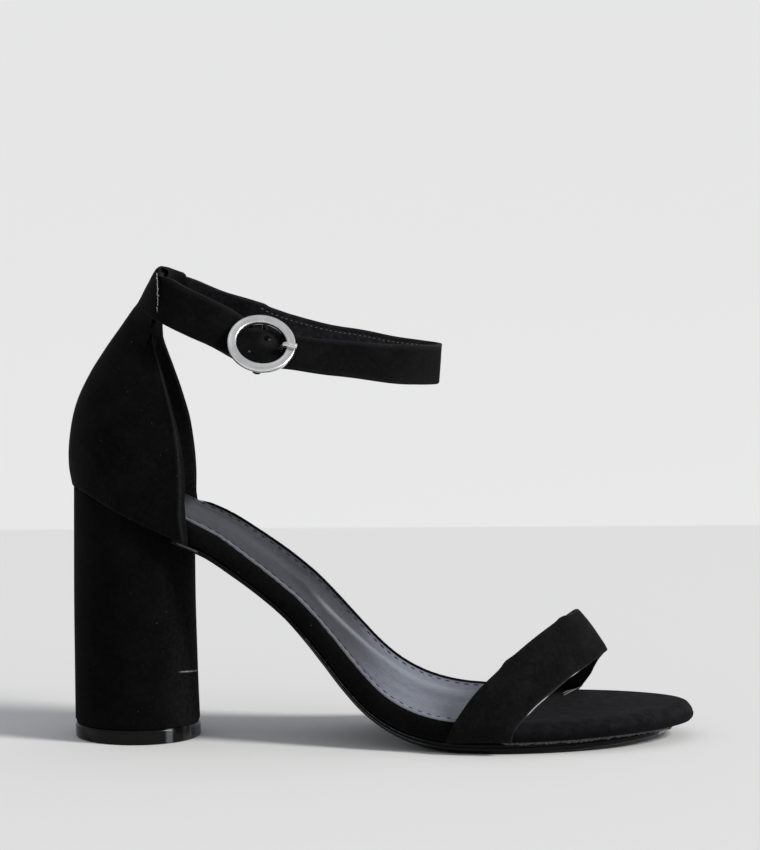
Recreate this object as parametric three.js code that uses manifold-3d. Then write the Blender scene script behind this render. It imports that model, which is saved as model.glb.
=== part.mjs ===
// A right-foot ankle-strap sandal on a round block heel: one vamp strap, a closed heel counter whose top is a
// sleeve for the ankle strap, and a round buckle on the outer side.
// Millimetres. X runs from the heel to the toe, Y to the inner (medial) side, Z up from the floor.
import * as THREE from 'three';
import { mergeVertices } from 'three/addons/utils/BufferGeometryUtils.js';
import Module from 'manifold-3d';

const wasm = await Module();
wasm.setup();

// Driving sizes of the sole, mm
const soleLength = 207.1;        // insole board in plan, back of the heel to the tip of the toe
const soleBack = -102;           // X of the back of the insole board
const ballWidth = 75;            // insole board across the ball of the foot
const heelLift = 83.4;           // how far the back of the board stands above the ball
const boardThickness = 7.2;      // covered insole board at the ball
const outsoleThickness = 3.2;
const treadWear = 0.2;           // depth of the flat spot under the ball
const boardEdgeRound = 2.4;      // rounding of the board's upper edge
const heelEndRound = 21.5;       // length over which the heel end of the outline rounds off
const toeEndRound = 60;          // the same at the toe
const toeTuck = 8;               // how far the outsole lies inside the board at the toe
const outsoleTail = 40;          // distance along the sole from the heel back to where the outsole begins
const sockThickness = 0.9;
const sockInset = 1.5;
const sockEnd = 170;             // distance along the sole at which the sock lining ends, under the vamp strap
const clearance = 0.3;           // between pieces that meet on a curve

// Heel
const heelDepth = 41.4;          // fore and aft, at its top
const heelWidth = 44.4;          // across, at its top
const heelBackGap = 2.5;         // how far the heel's back lies behind the back of the board
const topPieceHeight = 5;
const topPieceEdge = 0.5;        // bevel round the tread of the top piece

// Counter
const counterWall = 1.9;
const counterHeight = 68;        // from the seat at the back of the heel to the top of the sleeve
const counterDepth = 41;         // fore and aft at the seat
const counterHalfWidth = 28;     // at its widest

// Ankle strap, its sleeve and its buckle
const strapWidth = 13.4;
const strapThickness = 1.9;
const strapLoopLength = 97;      // the loop fore and aft
const strapLoopWidth = 49;
const ankleHeight = 152.5;       // centre of the strap at the back of the ankle, above the floor
const strapFall = 25;            // how much lower it lies at the front
const sleeveWall = 1;
const sleeveEdge = 3.2;          // the sleeve's outer end stands this far forward of the back of the ankle
const sleeveMargin = 0.5;        // room inside the sleeve beyond each edge of the strap
const buckleDiameter = 23;
const buckleBand = 3;            // width of the buckle's ring
const buckleThickness = 2;
const barDiameter = 1.6;
const barDepth = 3.7;            // how far the centre bar lies behind the middle of the strap
const foldWall = 1.1;
const prongDiameter = 1.7;
const prongReach = 11.8;         // from the bar to the tip
const prongHole = 6.4;           // from the bar to the hole that it comes through

// Vamp strap
const vampThickness = 2.2;
const vampCrown = 0.3;
const vampCrest = 43.6;          // height of its back edge over the toes
const vampReach = 53;            // how far forward its edges run, base to crest

const cutterReach = 16;           // how far a trimming body reaches past the board's outline

const table = (columns, rows) => rows.map(
  (row) => Object.fromEntries(columns.map((name, i) => [name, row[i]])),
);

// The sole, in shares: along of soleLength, rise of heelLift, halfWidth and centre of ballWidth, board of
// boardThickness, outsole of outsoleThickness, tuck of toeTuck. Roll is in degrees, inner side up.
const soleRows = table(
  ['along', 'rise', 'halfWidth', 'centre', 'roll', 'board', 'outsole', 'tuck'],
  [
    [0.000, 0.996, 0.287, 0.000, 0.0, 1.11, 0.62, 0.10],
    [0.034, 0.974, 0.287, 0.000, 0.0, 1.11, 0.62, 0.10],
    [0.087, 0.911, 0.288, 0.000, 0.0, 1.11, 0.62, 0.10],
    [0.173, 0.805, 0.293, 0.000, 0.2, 1.03, 0.62, 0.10],
    [0.231, 0.737, 0.293, -0.006, 1.4, 0.92, 0.60, 0.10],
    [0.280, 0.656, 0.291, -0.010, 2.8, 0.86, 0.57, 0.10],
    [0.328, 0.568, 0.291, -0.012, 3.8, 0.83, 0.55, 0.10],
    [0.371, 0.478, 0.293, -0.014, 4.0, 0.84, 0.55, 0.10],
    [0.405, 0.388, 0.301, -0.015, 4.0, 0.86, 0.55, 0.10],
    [0.439, 0.289, 0.317, -0.012, 4.0, 0.89, 0.57, 0.11],
    [0.472, 0.194, 0.341, -0.007, 3.9, 0.93, 0.62, 0.12],
    [0.506, 0.115, 0.376, -0.002, 3.6, 0.97, 0.70, 0.15],
    [0.545, 0.057, 0.416, 0.003, 2.6, 1.00, 0.84, 0.19],
    [0.588, 0.021, 0.452, 0.008, 1.5, 0.97, 1.05, 0.24],
    [0.631, 0.005, 0.482, 0.012, 0.5, 0.93, 1.18, 0.28],
    [0.694, 0.000, 0.499, 0.016, 0.0, 0.90, 1.25, 0.34],
    [0.780, 0.002, 0.483, 0.018, 0.0, 0.88, 1.22, 0.41],
    [0.896, 0.011, 0.470, 0.030, 0.0, 0.86, 1.05, 0.53],
    [0.950, 0.016, 0.458, 0.042, 0.0, 0.88, 0.98, 0.70],
    [1.000, 0.020, 0.440, 0.062, 0.0, 0.90, 1.00, 1.00],
  ],
);

// The heel, in shares: level of its height at the back, back and front of heelDepth from its own middle at the
// top, halfWidth of heelWidth.
const heelRows = table(
  ['level', 'back', 'front', 'halfWidth'],
  [
    [0.00, -0.512, 0.520, 0.486],
    [0.12, -0.512, 0.510, 0.481],
    [0.30, -0.512, 0.498, 0.478],
    [0.60, -0.512, 0.485, 0.484],
    [1.00, -0.500, 0.490, 0.500],
    [1.30, -0.500, 0.490, 0.500],
  ],
);

// The counter's outer face from the seat up, in shares: backUp and frontUp of counterHeight above the seat line at
// the heel back, backX and frontX of counterDepth from the counter's back at the seat, halfWidth of
// counterHalfWidth, round (the length over which the back rounds off) of counterHalfWidth, outer of counterDepth
// (how much further forward the front edge runs on the outer side).
const counterRows = table(
  ['backUp', 'backX', 'frontUp', 'frontX', 'halfWidth', 'round', 'outer'],
  [
    [-0.060, -0.010, -0.400, 0.985, 0.845, 0.80, 0.00],
    [0.000, -0.020, -0.290, 0.990, 0.850, 0.80, 0.00],
    [0.115, -0.050, -0.120, 0.945, 0.915, 0.86, 0.02],
    [0.250, -0.040, 0.020, 0.940, 0.980, 0.93, 0.035],
    [0.400, 0.012, 0.150, 0.925, 1.000, 0.97, 0.045],
    [0.545, 0.120, 0.305, 0.890, 0.965, 0.97, 0.045],
    [0.685, 0.265, 0.450, 0.830, 0.880, 0.90, 0.04],
    [0.790, 0.390, 0.585, 0.765, 0.790, 0.82, 0.03],
    [0.870, 0.485, 0.715, 0.700, 0.725, 0.76, 0.02],
    [0.920, 0.552, 0.830, 0.690, 0.712, 0.74, 0.00],
    [0.975, 0.625, 0.940, 0.700, 0.700, 0.74, 0.00],
  ],
);

// The ankle strap's middle line, in shares: x of strapLoopLength forward of the back of the ankle, y of
// strapLoopWidth, fall of strapFall below ankleHeight. Lean is in degrees, top edge inwards.
const strapRows = table(
  ['x', 'y', 'fall', 'lean'],
  [
    [0.400, -0.458, 0.785, 42],
    [0.332, -0.461, 0.622, 36],
    [0.257, -0.462, 0.442, 26],
    [0.180, -0.453, 0.304, 18],
    [0.103, -0.414, 0.172, 18],
    [0.041, -0.322, 0.060, 22],
    [0.010, -0.184, 0.012, 27],
    [0.000, 0.000, 0.004, 30],
    [0.010, 0.184, 0.042, 28],
    [0.041, 0.322, 0.118, 24],
    [0.103, 0.414, 0.220, 18],
    [0.206, 0.469, 0.388, 20],
    [0.320, 0.498, 0.516, 24],
    [0.454, 0.502, 0.676, 28],
    [0.598, 0.459, 0.804, 30],
    [0.722, 0.380, 0.864, 28],
    [0.835, 0.265, 0.940, 20],
    [0.928, 0.155, 0.984, 6],
    [0.984, 0.068, 1.000, -4],
    [0.993, 0.000, 1.000, -5],
    [0.984, -0.068, 1.000, -4],
    [0.928, -0.155, 0.984, 4],
    [0.843, -0.265, 0.948, 23],
    [0.718, -0.386, 0.870, 35],
    [0.608, -0.460, 0.810, 40],
    [0.512, -0.500, 0.748, 43],
    [0.400, -0.516, 0.692, 43],
    [0.310, -0.520, 0.606, 41],
  ],
);
const sleeveFrom = 4.6;          // row at which the sleeve begins, on the outer side, before it is cut upright
const sleeveTo = 9.3;            // row at which it ends, on the inner side
const buckleRow = 26;            // row of the buckle's centre bar

// The vamp strap's two edges, in shares: x of vampReach forward of the base of the back edge, y of ballWidth,
// z of vampCrest.
const vampRows = table(
  ['backX', 'backY', 'backZ', 'frontX', 'frontY', 'frontZ'],
  [
    [-0.020, -0.462, 0.094, 0.396, -0.495, 0.110],
    [0.038, -0.466, 0.243, 0.430, -0.488, 0.225],
    [0.155, -0.435, 0.450, 0.530, -0.430, 0.355],
    [0.285, -0.370, 0.600, 0.640, -0.345, 0.455],
    [0.455, -0.262, 0.780, 0.765, -0.225, 0.550],
    [0.665, -0.125, 0.945, 0.895, -0.100, 0.630],
    [0.772, 0.000, 0.985, 0.962, 0.010, 0.665],
    [0.742, 0.115, 0.955, 0.945, 0.120, 0.620],
    [0.655, 0.235, 0.840, 0.905, 0.235, 0.530],
    [0.545, 0.345, 0.650, 0.862, 0.335, 0.415],
    [0.435, 0.440, 0.435, 0.790, 0.420, 0.285],
    [0.335, 0.512, 0.235, 0.720, 0.492, 0.175],
    [0.295, 0.533, 0.094, 0.690, 0.505, 0.110],
  ],
);
const vampBaseX = 24.2;          // X of the base of the vamp strap's back edge

// A smooth curve through one column of a table, read at a value of the key (a column, or the row number)
function reader(rows, name, key = null) {
  const xs = rows.map((row, i) => (key ? row[key] : i));
  const ys = rows.map((row) => row[name]);
  const slopes = ys.map((_, i) => {
    const a = Math.max(i - 1, 0);
    const b = Math.min(i + 1, ys.length - 1);
    return (ys[b] - ys[a]) / (xs[b] - xs[a]);
  });
  return (value) => {
    let i = 0;
    while (i < xs.length - 2 && value > xs[i + 1]) i += 1;
    const span = xs[i + 1] - xs[i];
    const t = (value - xs[i]) / span;
    const t2 = t * t;
    const t3 = t2 * t;
    return (2 * t3 - 3 * t2 + 1) * ys[i] + (t3 - 2 * t2 + t) * span * slopes[i]
      + (3 * t2 - 2 * t3) * ys[i + 1] + (t3 - t2) * span * slopes[i + 1];
  };
}

const readers = (rows, names, key = null) => Object.fromEntries(
  names.map((name) => [name, reader(rows, name, key)]),
);

// A closed solid through rings of equal count. A fan cap suits a round ring, a ladder cap one whose points run
// down one side and back up the other.
const fanCap = (count) => Array.from({ length: count - 2 }, (_, i) => [0, i + 1, i + 2]);
const ladderCap = (count) => Array.from({ length: count / 2 - 1 }, (_, i) => [
  [i, i + 1, count - 1 - i],
  [i + 1, count - 2 - i, count - 1 - i],
]).flat();

function loft(rings, cap = fanCap) {
  const count = rings[0].length;
  const corners = rings.flat();
  const faces = [];
  rings.slice(1).forEach((_, r) => {
    for (let i = 0; i < count; i += 1) {
      const j = (i + 1) % count;
      const low = r * count;
      const high = low + count;
      faces.push([low + i, low + j, high + j], [low + i, high + j, high + i]);
    }
  });
  const last = (rings.length - 1) * count;
  cap(count).forEach(([a, b, c]) => {
    faces.push([c, b, a], [last + a, last + b, last + c]);
  });
  const geometry = new THREE.BufferGeometry();
  geometry.setAttribute('position', new THREE.Float32BufferAttribute(corners.flatMap((p) => p.toArray()), 3));
  geometry.setIndex(faces.flat());
  return geometry;
}

// Between three.js geometry and solids for cutting and joining. A loft whose rings turn the other way is turned
// round here, so that every solid faces outwards.
function solid(geometry, matrix = new THREE.Matrix4()) {
  const bare = geometry.clone().applyMatrix4(matrix);
  bare.deleteAttribute('normal');
  bare.deleteAttribute('uv');
  const merged = mergeVertices(bare, 1e-4);
  const corners = new Float32Array(merged.getAttribute('position').array);
  const triangles = Array.from(merged.index.array);
  let volume = 0;
  const a = new THREE.Vector3();
  const b = new THREE.Vector3();
  const c = new THREE.Vector3();
  for (let i = 0; i < triangles.length; i += 3) {
    a.fromArray(corners, triangles[i] * 3);
    b.fromArray(corners, triangles[i + 1] * 3);
    c.fromArray(corners, triangles[i + 2] * 3);
    volume += a.dot(b.cross(c));
  }
  const kept = [];
  for (let i = 0; i < triangles.length; i += 3) {
    const [p, q, r] = triangles.slice(i, i + 3);
    if (p !== q && q !== r && p !== r) kept.push(...(volume < 0 ? [p, r, q] : [p, q, r]));
  }
  return new wasm.Manifold(new wasm.Mesh({
    numProp: 3, vertProperties: corners, triVerts: new Uint32Array(kept),
  }));
}

function geometryOf(body) {
  const mesh = body.getMesh();
  const geometry = new THREE.BufferGeometry();
  geometry.setAttribute('position', new THREE.BufferAttribute(new Float32Array(mesh.vertProperties), 3));
  geometry.setIndex(new THREE.BufferAttribute(new Uint32Array(mesh.triVerts), 1));
  geometry.computeVertexNormals();
  return geometry;
}

// The sole line: the middle of the insole board's upper face, seen from the side
const soleAt = readers(soleRows, Object.keys(soleRows[0]), 'along');
const ballRow = 15;
const ballTop = outsoleThickness * soleRows[ballRow].outsole + clearance
  + boardThickness * soleRows[ballRow].board - treadWear;
const soleX = (along) => soleBack + along * soleLength;
const soleZ = (along) => ballTop + heelLift * soleAt.rise(along);

const soleSteps = 400;
const soleRuns = [0];
for (let i = 1; i <= soleSteps; i += 1) {
  const dx = soleLength / soleSteps;
  const dz = soleZ(i / soleSteps) - soleZ((i - 1) / soleSteps);
  soleRuns.push(soleRuns[i - 1] + Math.hypot(dx, dz));
}
const soleRun = soleRuns[soleSteps];

function alongAt(run) {
  let i = 1;
  while (i < soleSteps && soleRuns[i] < run) i += 1;
  return (i - 1 + (run - soleRuns[i - 1]) / (soleRuns[i] - soleRuns[i - 1])) / soleSteps;
}

// A point of the sole: run along its line, side across it, up square to it
function solePoint(run, side, up) {
  const along = alongAt(run);
  const step = 0.004;
  const low = Math.max(along - step, 0);
  const high = Math.min(along + step, 1);
  const forward = new THREE.Vector3(soleX(high) - soleX(low), 0, soleZ(high) - soleZ(low)).normalize();
  const across = new THREE.Vector3(0, 1, 0).applyAxisAngle(forward, THREE.MathUtils.degToRad(soleAt.roll(along)));
  const normal = new THREE.Vector3().crossVectors(forward, across);
  return new THREE.Vector3(soleX(along), 0, soleZ(along))
    .addScaledVector(across, side)
    .addScaledVector(normal, up);
}

const endRound = (distance, length) => {
  const t = 1 - Math.min(distance / length, 1);
  return Math.sqrt(Math.max(1 - t * t, 0));
};

// The board's outline between two runs, moved inwards by an inset, as a ring down the outer side and back along
// the inner side, each point with its run and side
const endTrim = 0.12;            // the outline stops this far short of a rounded end, where it has almost no width
const stationCount = 44;

// Every slab uses the same stations, closer together at the two ends, so that neighbours stay parallel
function stationRuns(from, to) {
  const start = Math.max(from, endTrim);
  const end = Math.min(to, soleRun - endTrim);
  const shared = Array.from({ length: stationCount }, (_, i) => {
    const share = i / stationCount;
    return soleRun * (0.6 * share + 0.4 * (1 - Math.cos(Math.PI * share)) / 2);
  });
  return [start, ...shared.filter((run) => run > start + 0.5 && run < end - 0.5), end];
}

function outline(from, to, inset) {
  const outer = [];
  const inner = [];
  for (const run of stationRuns(from, to)) {
    const along = alongAt(run);
    const half = ballWidth * soleAt.halfWidth(along)
      * endRound(run, heelEndRound) * endRound(soleRun - run, toeEndRound);
    const centre = ballWidth * soleAt.centre(along);
    outer.push(new THREE.Vector2(run, centre - half));
    inner.push(new THREE.Vector2(run, centre + half));
  }
  const ring = [...outer, ...inner.reverse()];
  const last = outer.length - 1;
  return ring.map((point, i) => {
    const before = ring[(i + ring.length - 1) % ring.length];
    const after = ring[(i + 1) % ring.length];
    const tangent = after.clone().sub(before).normalize();
    // a square end stays where it is, and only its corners move inwards
    const station = i <= last ? i : ring.length - 1 - i;
    if ((station === 0 && from > 0) || (station === last && to < soleRun)) tangent.set(i <= last ? 1 : -1, 0);
    const amount = typeof inset === 'function' ? inset(alongAt(point.x)) : inset;
    return new THREE.Vector2(point.x - tangent.y * amount, point.y + tangent.x * amount);
  });
}

// A slab on the sole line: layers of an inset and a height, both numbers or functions of the share along
function soleSlab(from, to, layers) {
  const value = (thing, along) => (typeof thing === 'function' ? thing(along) : thing);
  return loft(layers.map(({ inset, up }) => outline(from, to, inset).map((point) => {
    const along = alongAt(THREE.MathUtils.clamp(point.x, 0, soleRun));
    const at = solePoint(THREE.MathUtils.clamp(point.x, 0, soleRun), point.y, value(up, along));
    const beyond = point.x - THREE.MathUtils.clamp(point.x, 0, soleRun);
    return at.add(new THREE.Vector3(beyond, 0, 0));
  })), ladderCap);
}

const boardUnder = (along) => -boardThickness * soleAt.board(along);
const outsoleUpper = (along) => boardUnder(along) - clearance;
const outsoleUnder = (along) => outsoleUpper(along) - outsoleThickness * soleAt.outsole(along);
const outsoleInset = (along) => toeTuck * soleAt.tuck(along);

function insoleBoard() {
  return soleSlab(0, soleRun, [
    { inset: 1.0, up: boardUnder },
    { inset: 0.2, up: (a) => boardUnder(a) + 0.9 },
    { inset: 0, up: (a) => boardUnder(a) * 0.5 },
    { inset: 0.15 * boardEdgeRound, up: -0.5 * boardEdgeRound },
    { inset: 0.5 * boardEdgeRound, up: -0.15 * boardEdgeRound },
    { inset: boardEdgeRound, up: 0 },
  ]);
}

function sockLining() {
  return soleSlab(0, sockEnd, [
    { inset: sockInset, up: clearance },
    { inset: sockInset, up: clearance + sockThickness * 0.6 },
    { inset: sockInset + sockThickness * 0.5, up: clearance + sockThickness },
  ]);
}

// The tread is cut level with the floor, which leaves the flat spot under the ball
function floorCutter() {
  const size = soleLength * 2;
  return solid(new THREE.BoxGeometry(size, size, size), new THREE.Matrix4().makeTranslation(0, 0, -size / 2));
}

function outsole() {
  const body = soleSlab(outsoleTail, soleRun, [
    { inset: (a) => outsoleInset(a) + 1.0, up: outsoleUnder },
    { inset: (a) => outsoleInset(a) + 0.2, up: (a) => outsoleUnder(a) + 0.8 },
    { inset: outsoleInset, up: (a) => outsoleUpper(a) - 0.9 },
    { inset: (a) => outsoleInset(a) + 0.3, up: outsoleUpper },
  ]);
  return geometryOf(solid(body).subtract(floorCutter()));
}

// Bodies above and below the seat, to trim the heel and the counter, and the room for the outsole's tail
const seatEnd = outsoleTail + heelDepth;

function aboveSeat() {
  return solid(soleSlab(0, seatEnd, [
    { inset: -cutterReach, up: outsoleUpper },
    { inset: -cutterReach, up: heelDepth },
  ]));
}

function aboveTail() {
  return solid(soleSlab(outsoleTail - clearance, seatEnd, [
    { inset: -cutterReach, up: (a) => outsoleUnder(a) - clearance },
    { inset: -cutterReach, up: heelDepth },
  ]));
}

function belowSeat() {
  return solid(soleSlab(0, seatEnd, [
    { inset: -cutterReach, up: -heelDepth },
    { inset: -cutterReach, up: boardUnder },
  ]));
}

const heelBackX = soleBack - heelBackGap;
const heelMiddleX = heelBackX + heelDepth / 2;
const heelBackTop = ballTop + heelLift - boardThickness * soleRows[0].board;
const heelAt = readers(heelRows, ['back', 'front', 'halfWidth'], 'level');

function heelRing(level, z, inset = 0, points = 40) {
  const back = heelMiddleX + heelAt.back(level) * heelDepth + inset;
  const front = heelMiddleX + heelAt.front(level) * heelDepth - inset;
  const half = heelAt.halfWidth(level) * heelWidth - inset;
  return Array.from({ length: points }, (_, i) => {
    const angle = (2 * Math.PI * i) / points;
    return new THREE.Vector3(
      (back + front) / 2 + Math.cos(angle) * (front - back) / 2,
      Math.sin(angle) * half,
      z,
    );
  });
}

function heelBlock() {
  const bottom = topPieceHeight + clearance;
  const levels = [0, 0.06, 0.12, 0.2, 0.3, 0.45, 0.6, 0.8, 1, 1.2];
  const rings = levels.map((share) => {
    const z = bottom + share * (heelBackTop - bottom);
    return heelRing(z / heelBackTop, z);
  });
  return geometryOf(solid(loft(rings)).subtract(aboveSeat()).subtract(aboveTail()));
}

function topPiece() {
  const top = topPieceHeight / heelBackTop;
  return loft([
    heelRing(0, 0, topPieceEdge),
    heelRing(0, topPieceEdge),
    heelRing(top, topPieceHeight),
  ]);
}

// The counter's outer face: level is a row number of its table, across runs from -1 at the outer side's front
// edge through 0 at the back to 1 at the inner side's front edge
const counterAt = readers(counterRows, Object.keys(counterRows[0]));
const counterBackX = soleBack - clearance - counterWall;
const counterSeat = heelBackTop;

function counterPoint(level, across) {
  const backX = counterBackX + counterAt.backX(level) * counterDepth;
  const outer = Math.max(-across, 0) * counterAt.outer(level);
  const frontX = counterBackX + (counterAt.frontX(level) + outer) * counterDepth;
  const backZ = counterSeat + counterAt.backUp(level) * counterHeight;
  const frontZ = counterSeat + counterAt.frontUp(level) * counterHeight;
  const half = counterAt.halfWidth(level) * counterHalfWidth;
  const round = counterAt.round(level) * counterHalfWidth;
  const depth = frontX - backX;
  const turn = Math.acos(1 - Math.min(depth / round, 1));
  const arc = round * turn;
  const run = Math.abs(across) * (arc + Math.max(depth - round, 0));
  const angle = Math.min(run / round, turn);
  const x = run <= arc ? round * (1 - Math.cos(angle)) : round + run - arc;
  const share = x / depth;
  return new THREE.Vector3(
    backX + x,
    Math.sign(across) * half * Math.sin(angle),
    backZ + (frontZ - backZ) * share,
  );
}

function counterNormal(level, across) {
  const step = 0.02;
  const last = counterRows.length - 1;
  const up = counterPoint(Math.min(level + step, last), across)
    .sub(counterPoint(Math.max(level - step, 0), across));
  const side = counterPoint(level, Math.min(across + step, 1)).sub(counterPoint(level, Math.max(across - step, -1)));
  return up.cross(side).normalize();
}

function counterShell(acrossSteps = 28, levelSteps = 15) {
  const last = counterRows.length - 1;
  const rings = [];
  for (let i = 0; i <= acrossSteps; i += 1) {
    const across = -1 + (2 * i) / acrossSteps;
    const outer = [];
    const inner = [];
    for (let j = 0; j <= levelSteps; j += 1) {
      const level = (last * j) / levelSteps;
      const at = counterPoint(level, across);
      outer.push(at);
      inner.push(at.clone().addScaledVector(counterNormal(level, across), -counterWall));
    }
    rings.push([...outer, ...inner.reverse()]);
  }
  return solid(loft(rings, ladderCap));
}

// The ankle strap's line. Each station has the middle, forward along the strap, up across it and out of the loop.
const strapAt = readers(strapRows, ['x', 'y', 'fall', 'lean']);
const strapBackX = soleBack + 24.8;

const strapMiddle = (row) => new THREE.Vector3(
  strapBackX + strapAt.x(row) * strapLoopLength,
  strapAt.y(row) * strapLoopWidth,
  ankleHeight - strapAt.fall(row) * strapFall,
);

function strapStation(row) {
  const last = strapRows.length - 1;
  const step = 0.05;
  const middle = strapMiddle(row);
  const forward = strapMiddle(Math.min(row + step, last)).sub(strapMiddle(Math.max(row - step, 0))).normalize();
  const upright = new THREE.Vector3(0, 0, 1).addScaledVector(forward, -forward.z).normalize();
  const lean = THREE.MathUtils.degToRad(strapAt.lean(row));
  const up = upright.applyAxisAngle(forward, lean);
  const out = new THREE.Vector3().crossVectors(up, forward);
  return { middle, forward, up, out };
}

// A rounded oblong band swept over stations. Each station has its middle, its up direction, its out direction and
// its own width.
function band(stations, thickness, round, crown = 0) {
  const t = thickness / 2;
  return loft(stations.map(({ middle, up, out, width }) => {
    const w = width / 2;
    const section = [
      [-w + round, -t], [w - round, -t], [w, -t + round], [w, t - round],
      [w - round, t], [w * 0.4, t + crown], [-w * 0.4, t + crown], [-w + round, t],
      [-w, t - round], [-w, -t + round],
    ];
    return section.map(([a, b]) => middle.clone().addScaledVector(up, a).addScaledVector(out, b));
  }));
}

function strapStations(from, to, count, width) {
  return Array.from({ length: count + 1 }, (_, i) => {
    const row = from + ((to - from) * i) / count;
    return { ...strapStation(row), width };
  });
}

const buckle = strapStation(buckleRow);
const buckleBasis = new THREE.Matrix4().makeBasis(buckle.forward.clone().negate(), buckle.out, buckle.up);

// From the buckle's own frame (x to the toe along the strap, y out of the loop, z up across the strap) to the shoe
function atBuckle(geometry) {
  const placed = geometry.clone();
  const matrix = buckleBasis.clone().setPosition(buckle.middle);
  return placed.applyMatrix4(matrix);
}

function uprightRod(radius, length, x, y, points = 20) {
  return atBuckle(new THREE.CylinderGeometry(radius, radius, length, points)
    .rotateX(Math.PI / 2).translate(x, y, 0));
}

function ankleStrap() {
  const last = strapRows.length - 1;
  const ribbon = solid(band(strapStations(0, last, 72, strapWidth), strapThickness, 0.45));
  const foldRadius = barDiameter / 2 + clearance + foldWall;
  const fold = solid(uprightRod(foldRadius, strapWidth, 0, -barDepth));
  const barRoom = solid(uprightRod(barDiameter / 2 + clearance, strapWidth * 2, 0, -barDepth));
  const slit = solid(atBuckle(new THREE.BoxGeometry(prongDiameter * 4, foldRadius * 2.6, prongDiameter + 1.4)
    .translate(prongDiameter * 0.8, -barDepth, 0)));
  const holeRadius = prongDiameter / 2 + 0.9;
  const hole = solid(atBuckle(new THREE.CylinderGeometry(holeRadius, holeRadius, strapThickness * 3, 16)
    .translate(prongHole, 0, 0)));
  return geometryOf(ribbon.add(fold).subtract(barRoom).subtract(slit).subtract(hole));
}

function counter() {
  const sleeveWidth = strapWidth + 2 * (sleeveMargin + sleeveWall);
  const sleeveThickness = strapThickness + 2 * (clearance + sleeveWall);
  const beyond = solid(new THREE.BoxGeometry(strapLoopWidth, strapLoopWidth, counterHeight)
    .translate(strapBackX + sleeveEdge + strapLoopWidth / 2, -strapLoopWidth / 2, ankleHeight));
  const sleeve = solid(band(strapStations(sleeveFrom, sleeveTo, 18, sleeveWidth), sleeveThickness, 1.2))
    .subtract(beyond);
  const channel = solid(band(
    strapStations(sleeveFrom - 0.6, sleeveTo + 0.6, 22, strapWidth + 2 * sleeveMargin),
    strapThickness + 2 * clearance,
    0.2,
  ));
  const board = solid(soleSlab(0, seatEnd, [
    { inset: -clearance, up: (a) => boardUnder(a) - 1 },
    { inset: -clearance, up: clearance },
  ]));
  return geometryOf(counterShell().subtract(belowSeat()).subtract(board).add(sleeve).subtract(channel));
}

// Buckle: a round frame with a centre bar that dips behind the strap, and a prong that turns on the bar
const buckleLift = strapThickness / 2 + 0.85 + buckleThickness / 2;

function rod(points, radius, sides = 8) {
  const path = new THREE.CatmullRomCurve3(points);
  const circle = new THREE.Shape(new THREE.Path().absarc(0, 0, radius, 0, 2 * Math.PI).getPoints(sides));
  return new THREE.ExtrudeGeometry(circle, { steps: 16, extrudePath: path, curveSegments: 1 });
}

function buckleFrame() {
  const outer = buckleDiameter / 2;
  const mid = outer - buckleBand / 2;
  const sides = 8;
  const profile = Array.from({ length: sides + 1 }, (_, i) => {
    const angle = (2 * Math.PI * (i % sides)) / sides;
    return new THREE.Vector2(mid + Math.cos(angle) * buckleBand / 2, Math.sin(angle) * buckleThickness / 2);
  });
  const ring = atBuckle(new THREE.LatheGeometry(profile, 40).translate(0, buckleLift, 0));
  const reach = mid;
  const inside = strapWidth / 2 + barDiameter / 2 + 1.2;
  const bar = atBuckle(rod([
    new THREE.Vector3(0, buckleLift, reach),
    new THREE.Vector3(0, 0, inside + barDiameter * 0.3),
    new THREE.Vector3(0, -barDepth * 0.8, inside),
    new THREE.Vector3(0, -barDepth, inside - barDiameter * 0.8),
    new THREE.Vector3(0, -barDepth, 0),
    new THREE.Vector3(0, -barDepth, barDiameter * 0.8 - inside),
    new THREE.Vector3(0, -barDepth * 0.8, -inside),
    new THREE.Vector3(0, 0, -inside - barDiameter * 0.3),
    new THREE.Vector3(0, buckleLift, -reach),
  ], barDiameter / 2));
  return geometryOf(solid(ring).add(solid(bar)));
}

function buckleProng() {
  const radius = prongDiameter / 2;
  const top = buckleLift + buckleThickness / 2 + clearance + radius;
  const arm = solid(atBuckle(rod([
    new THREE.Vector3(barDiameter / 2 + clearance + 0.5, -barDepth, 0),
    new THREE.Vector3(prongHole * 0.66, -barDepth + 0.9, 0),
    new THREE.Vector3(prongHole, 0, 0),
    new THREE.Vector3(prongHole + 1.3, top - 0.3, 0),
    new THREE.Vector3(prongReach - 1.6, top + 0.1, 0),
    new THREE.Vector3(prongReach, top - 0.1, 0),
  ], radius)));
  const eye = solid(uprightRod(barDiameter / 2 + clearance + 0.8, prongDiameter, 0, -barDepth, 18));
  const room = solid(uprightRod(barDiameter / 2 + clearance, prongDiameter * 3, 0, -barDepth, 18));
  return geometryOf(arm.add(eye).subtract(room));
}

// The vamp strap: a crowned band between its back and front edges, clear of the board that it wraps
const vampAt = readers(vampRows, Object.keys(vampRows[0]));
const vampEdge = (row, edge) => new THREE.Vector3(
  vampBaseX + vampAt[`${edge}X`](row) * vampReach,
  vampAt[`${edge}Y`](row) * ballWidth,
  vampAt[`${edge}Z`](row) * vampCrest,
);

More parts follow.
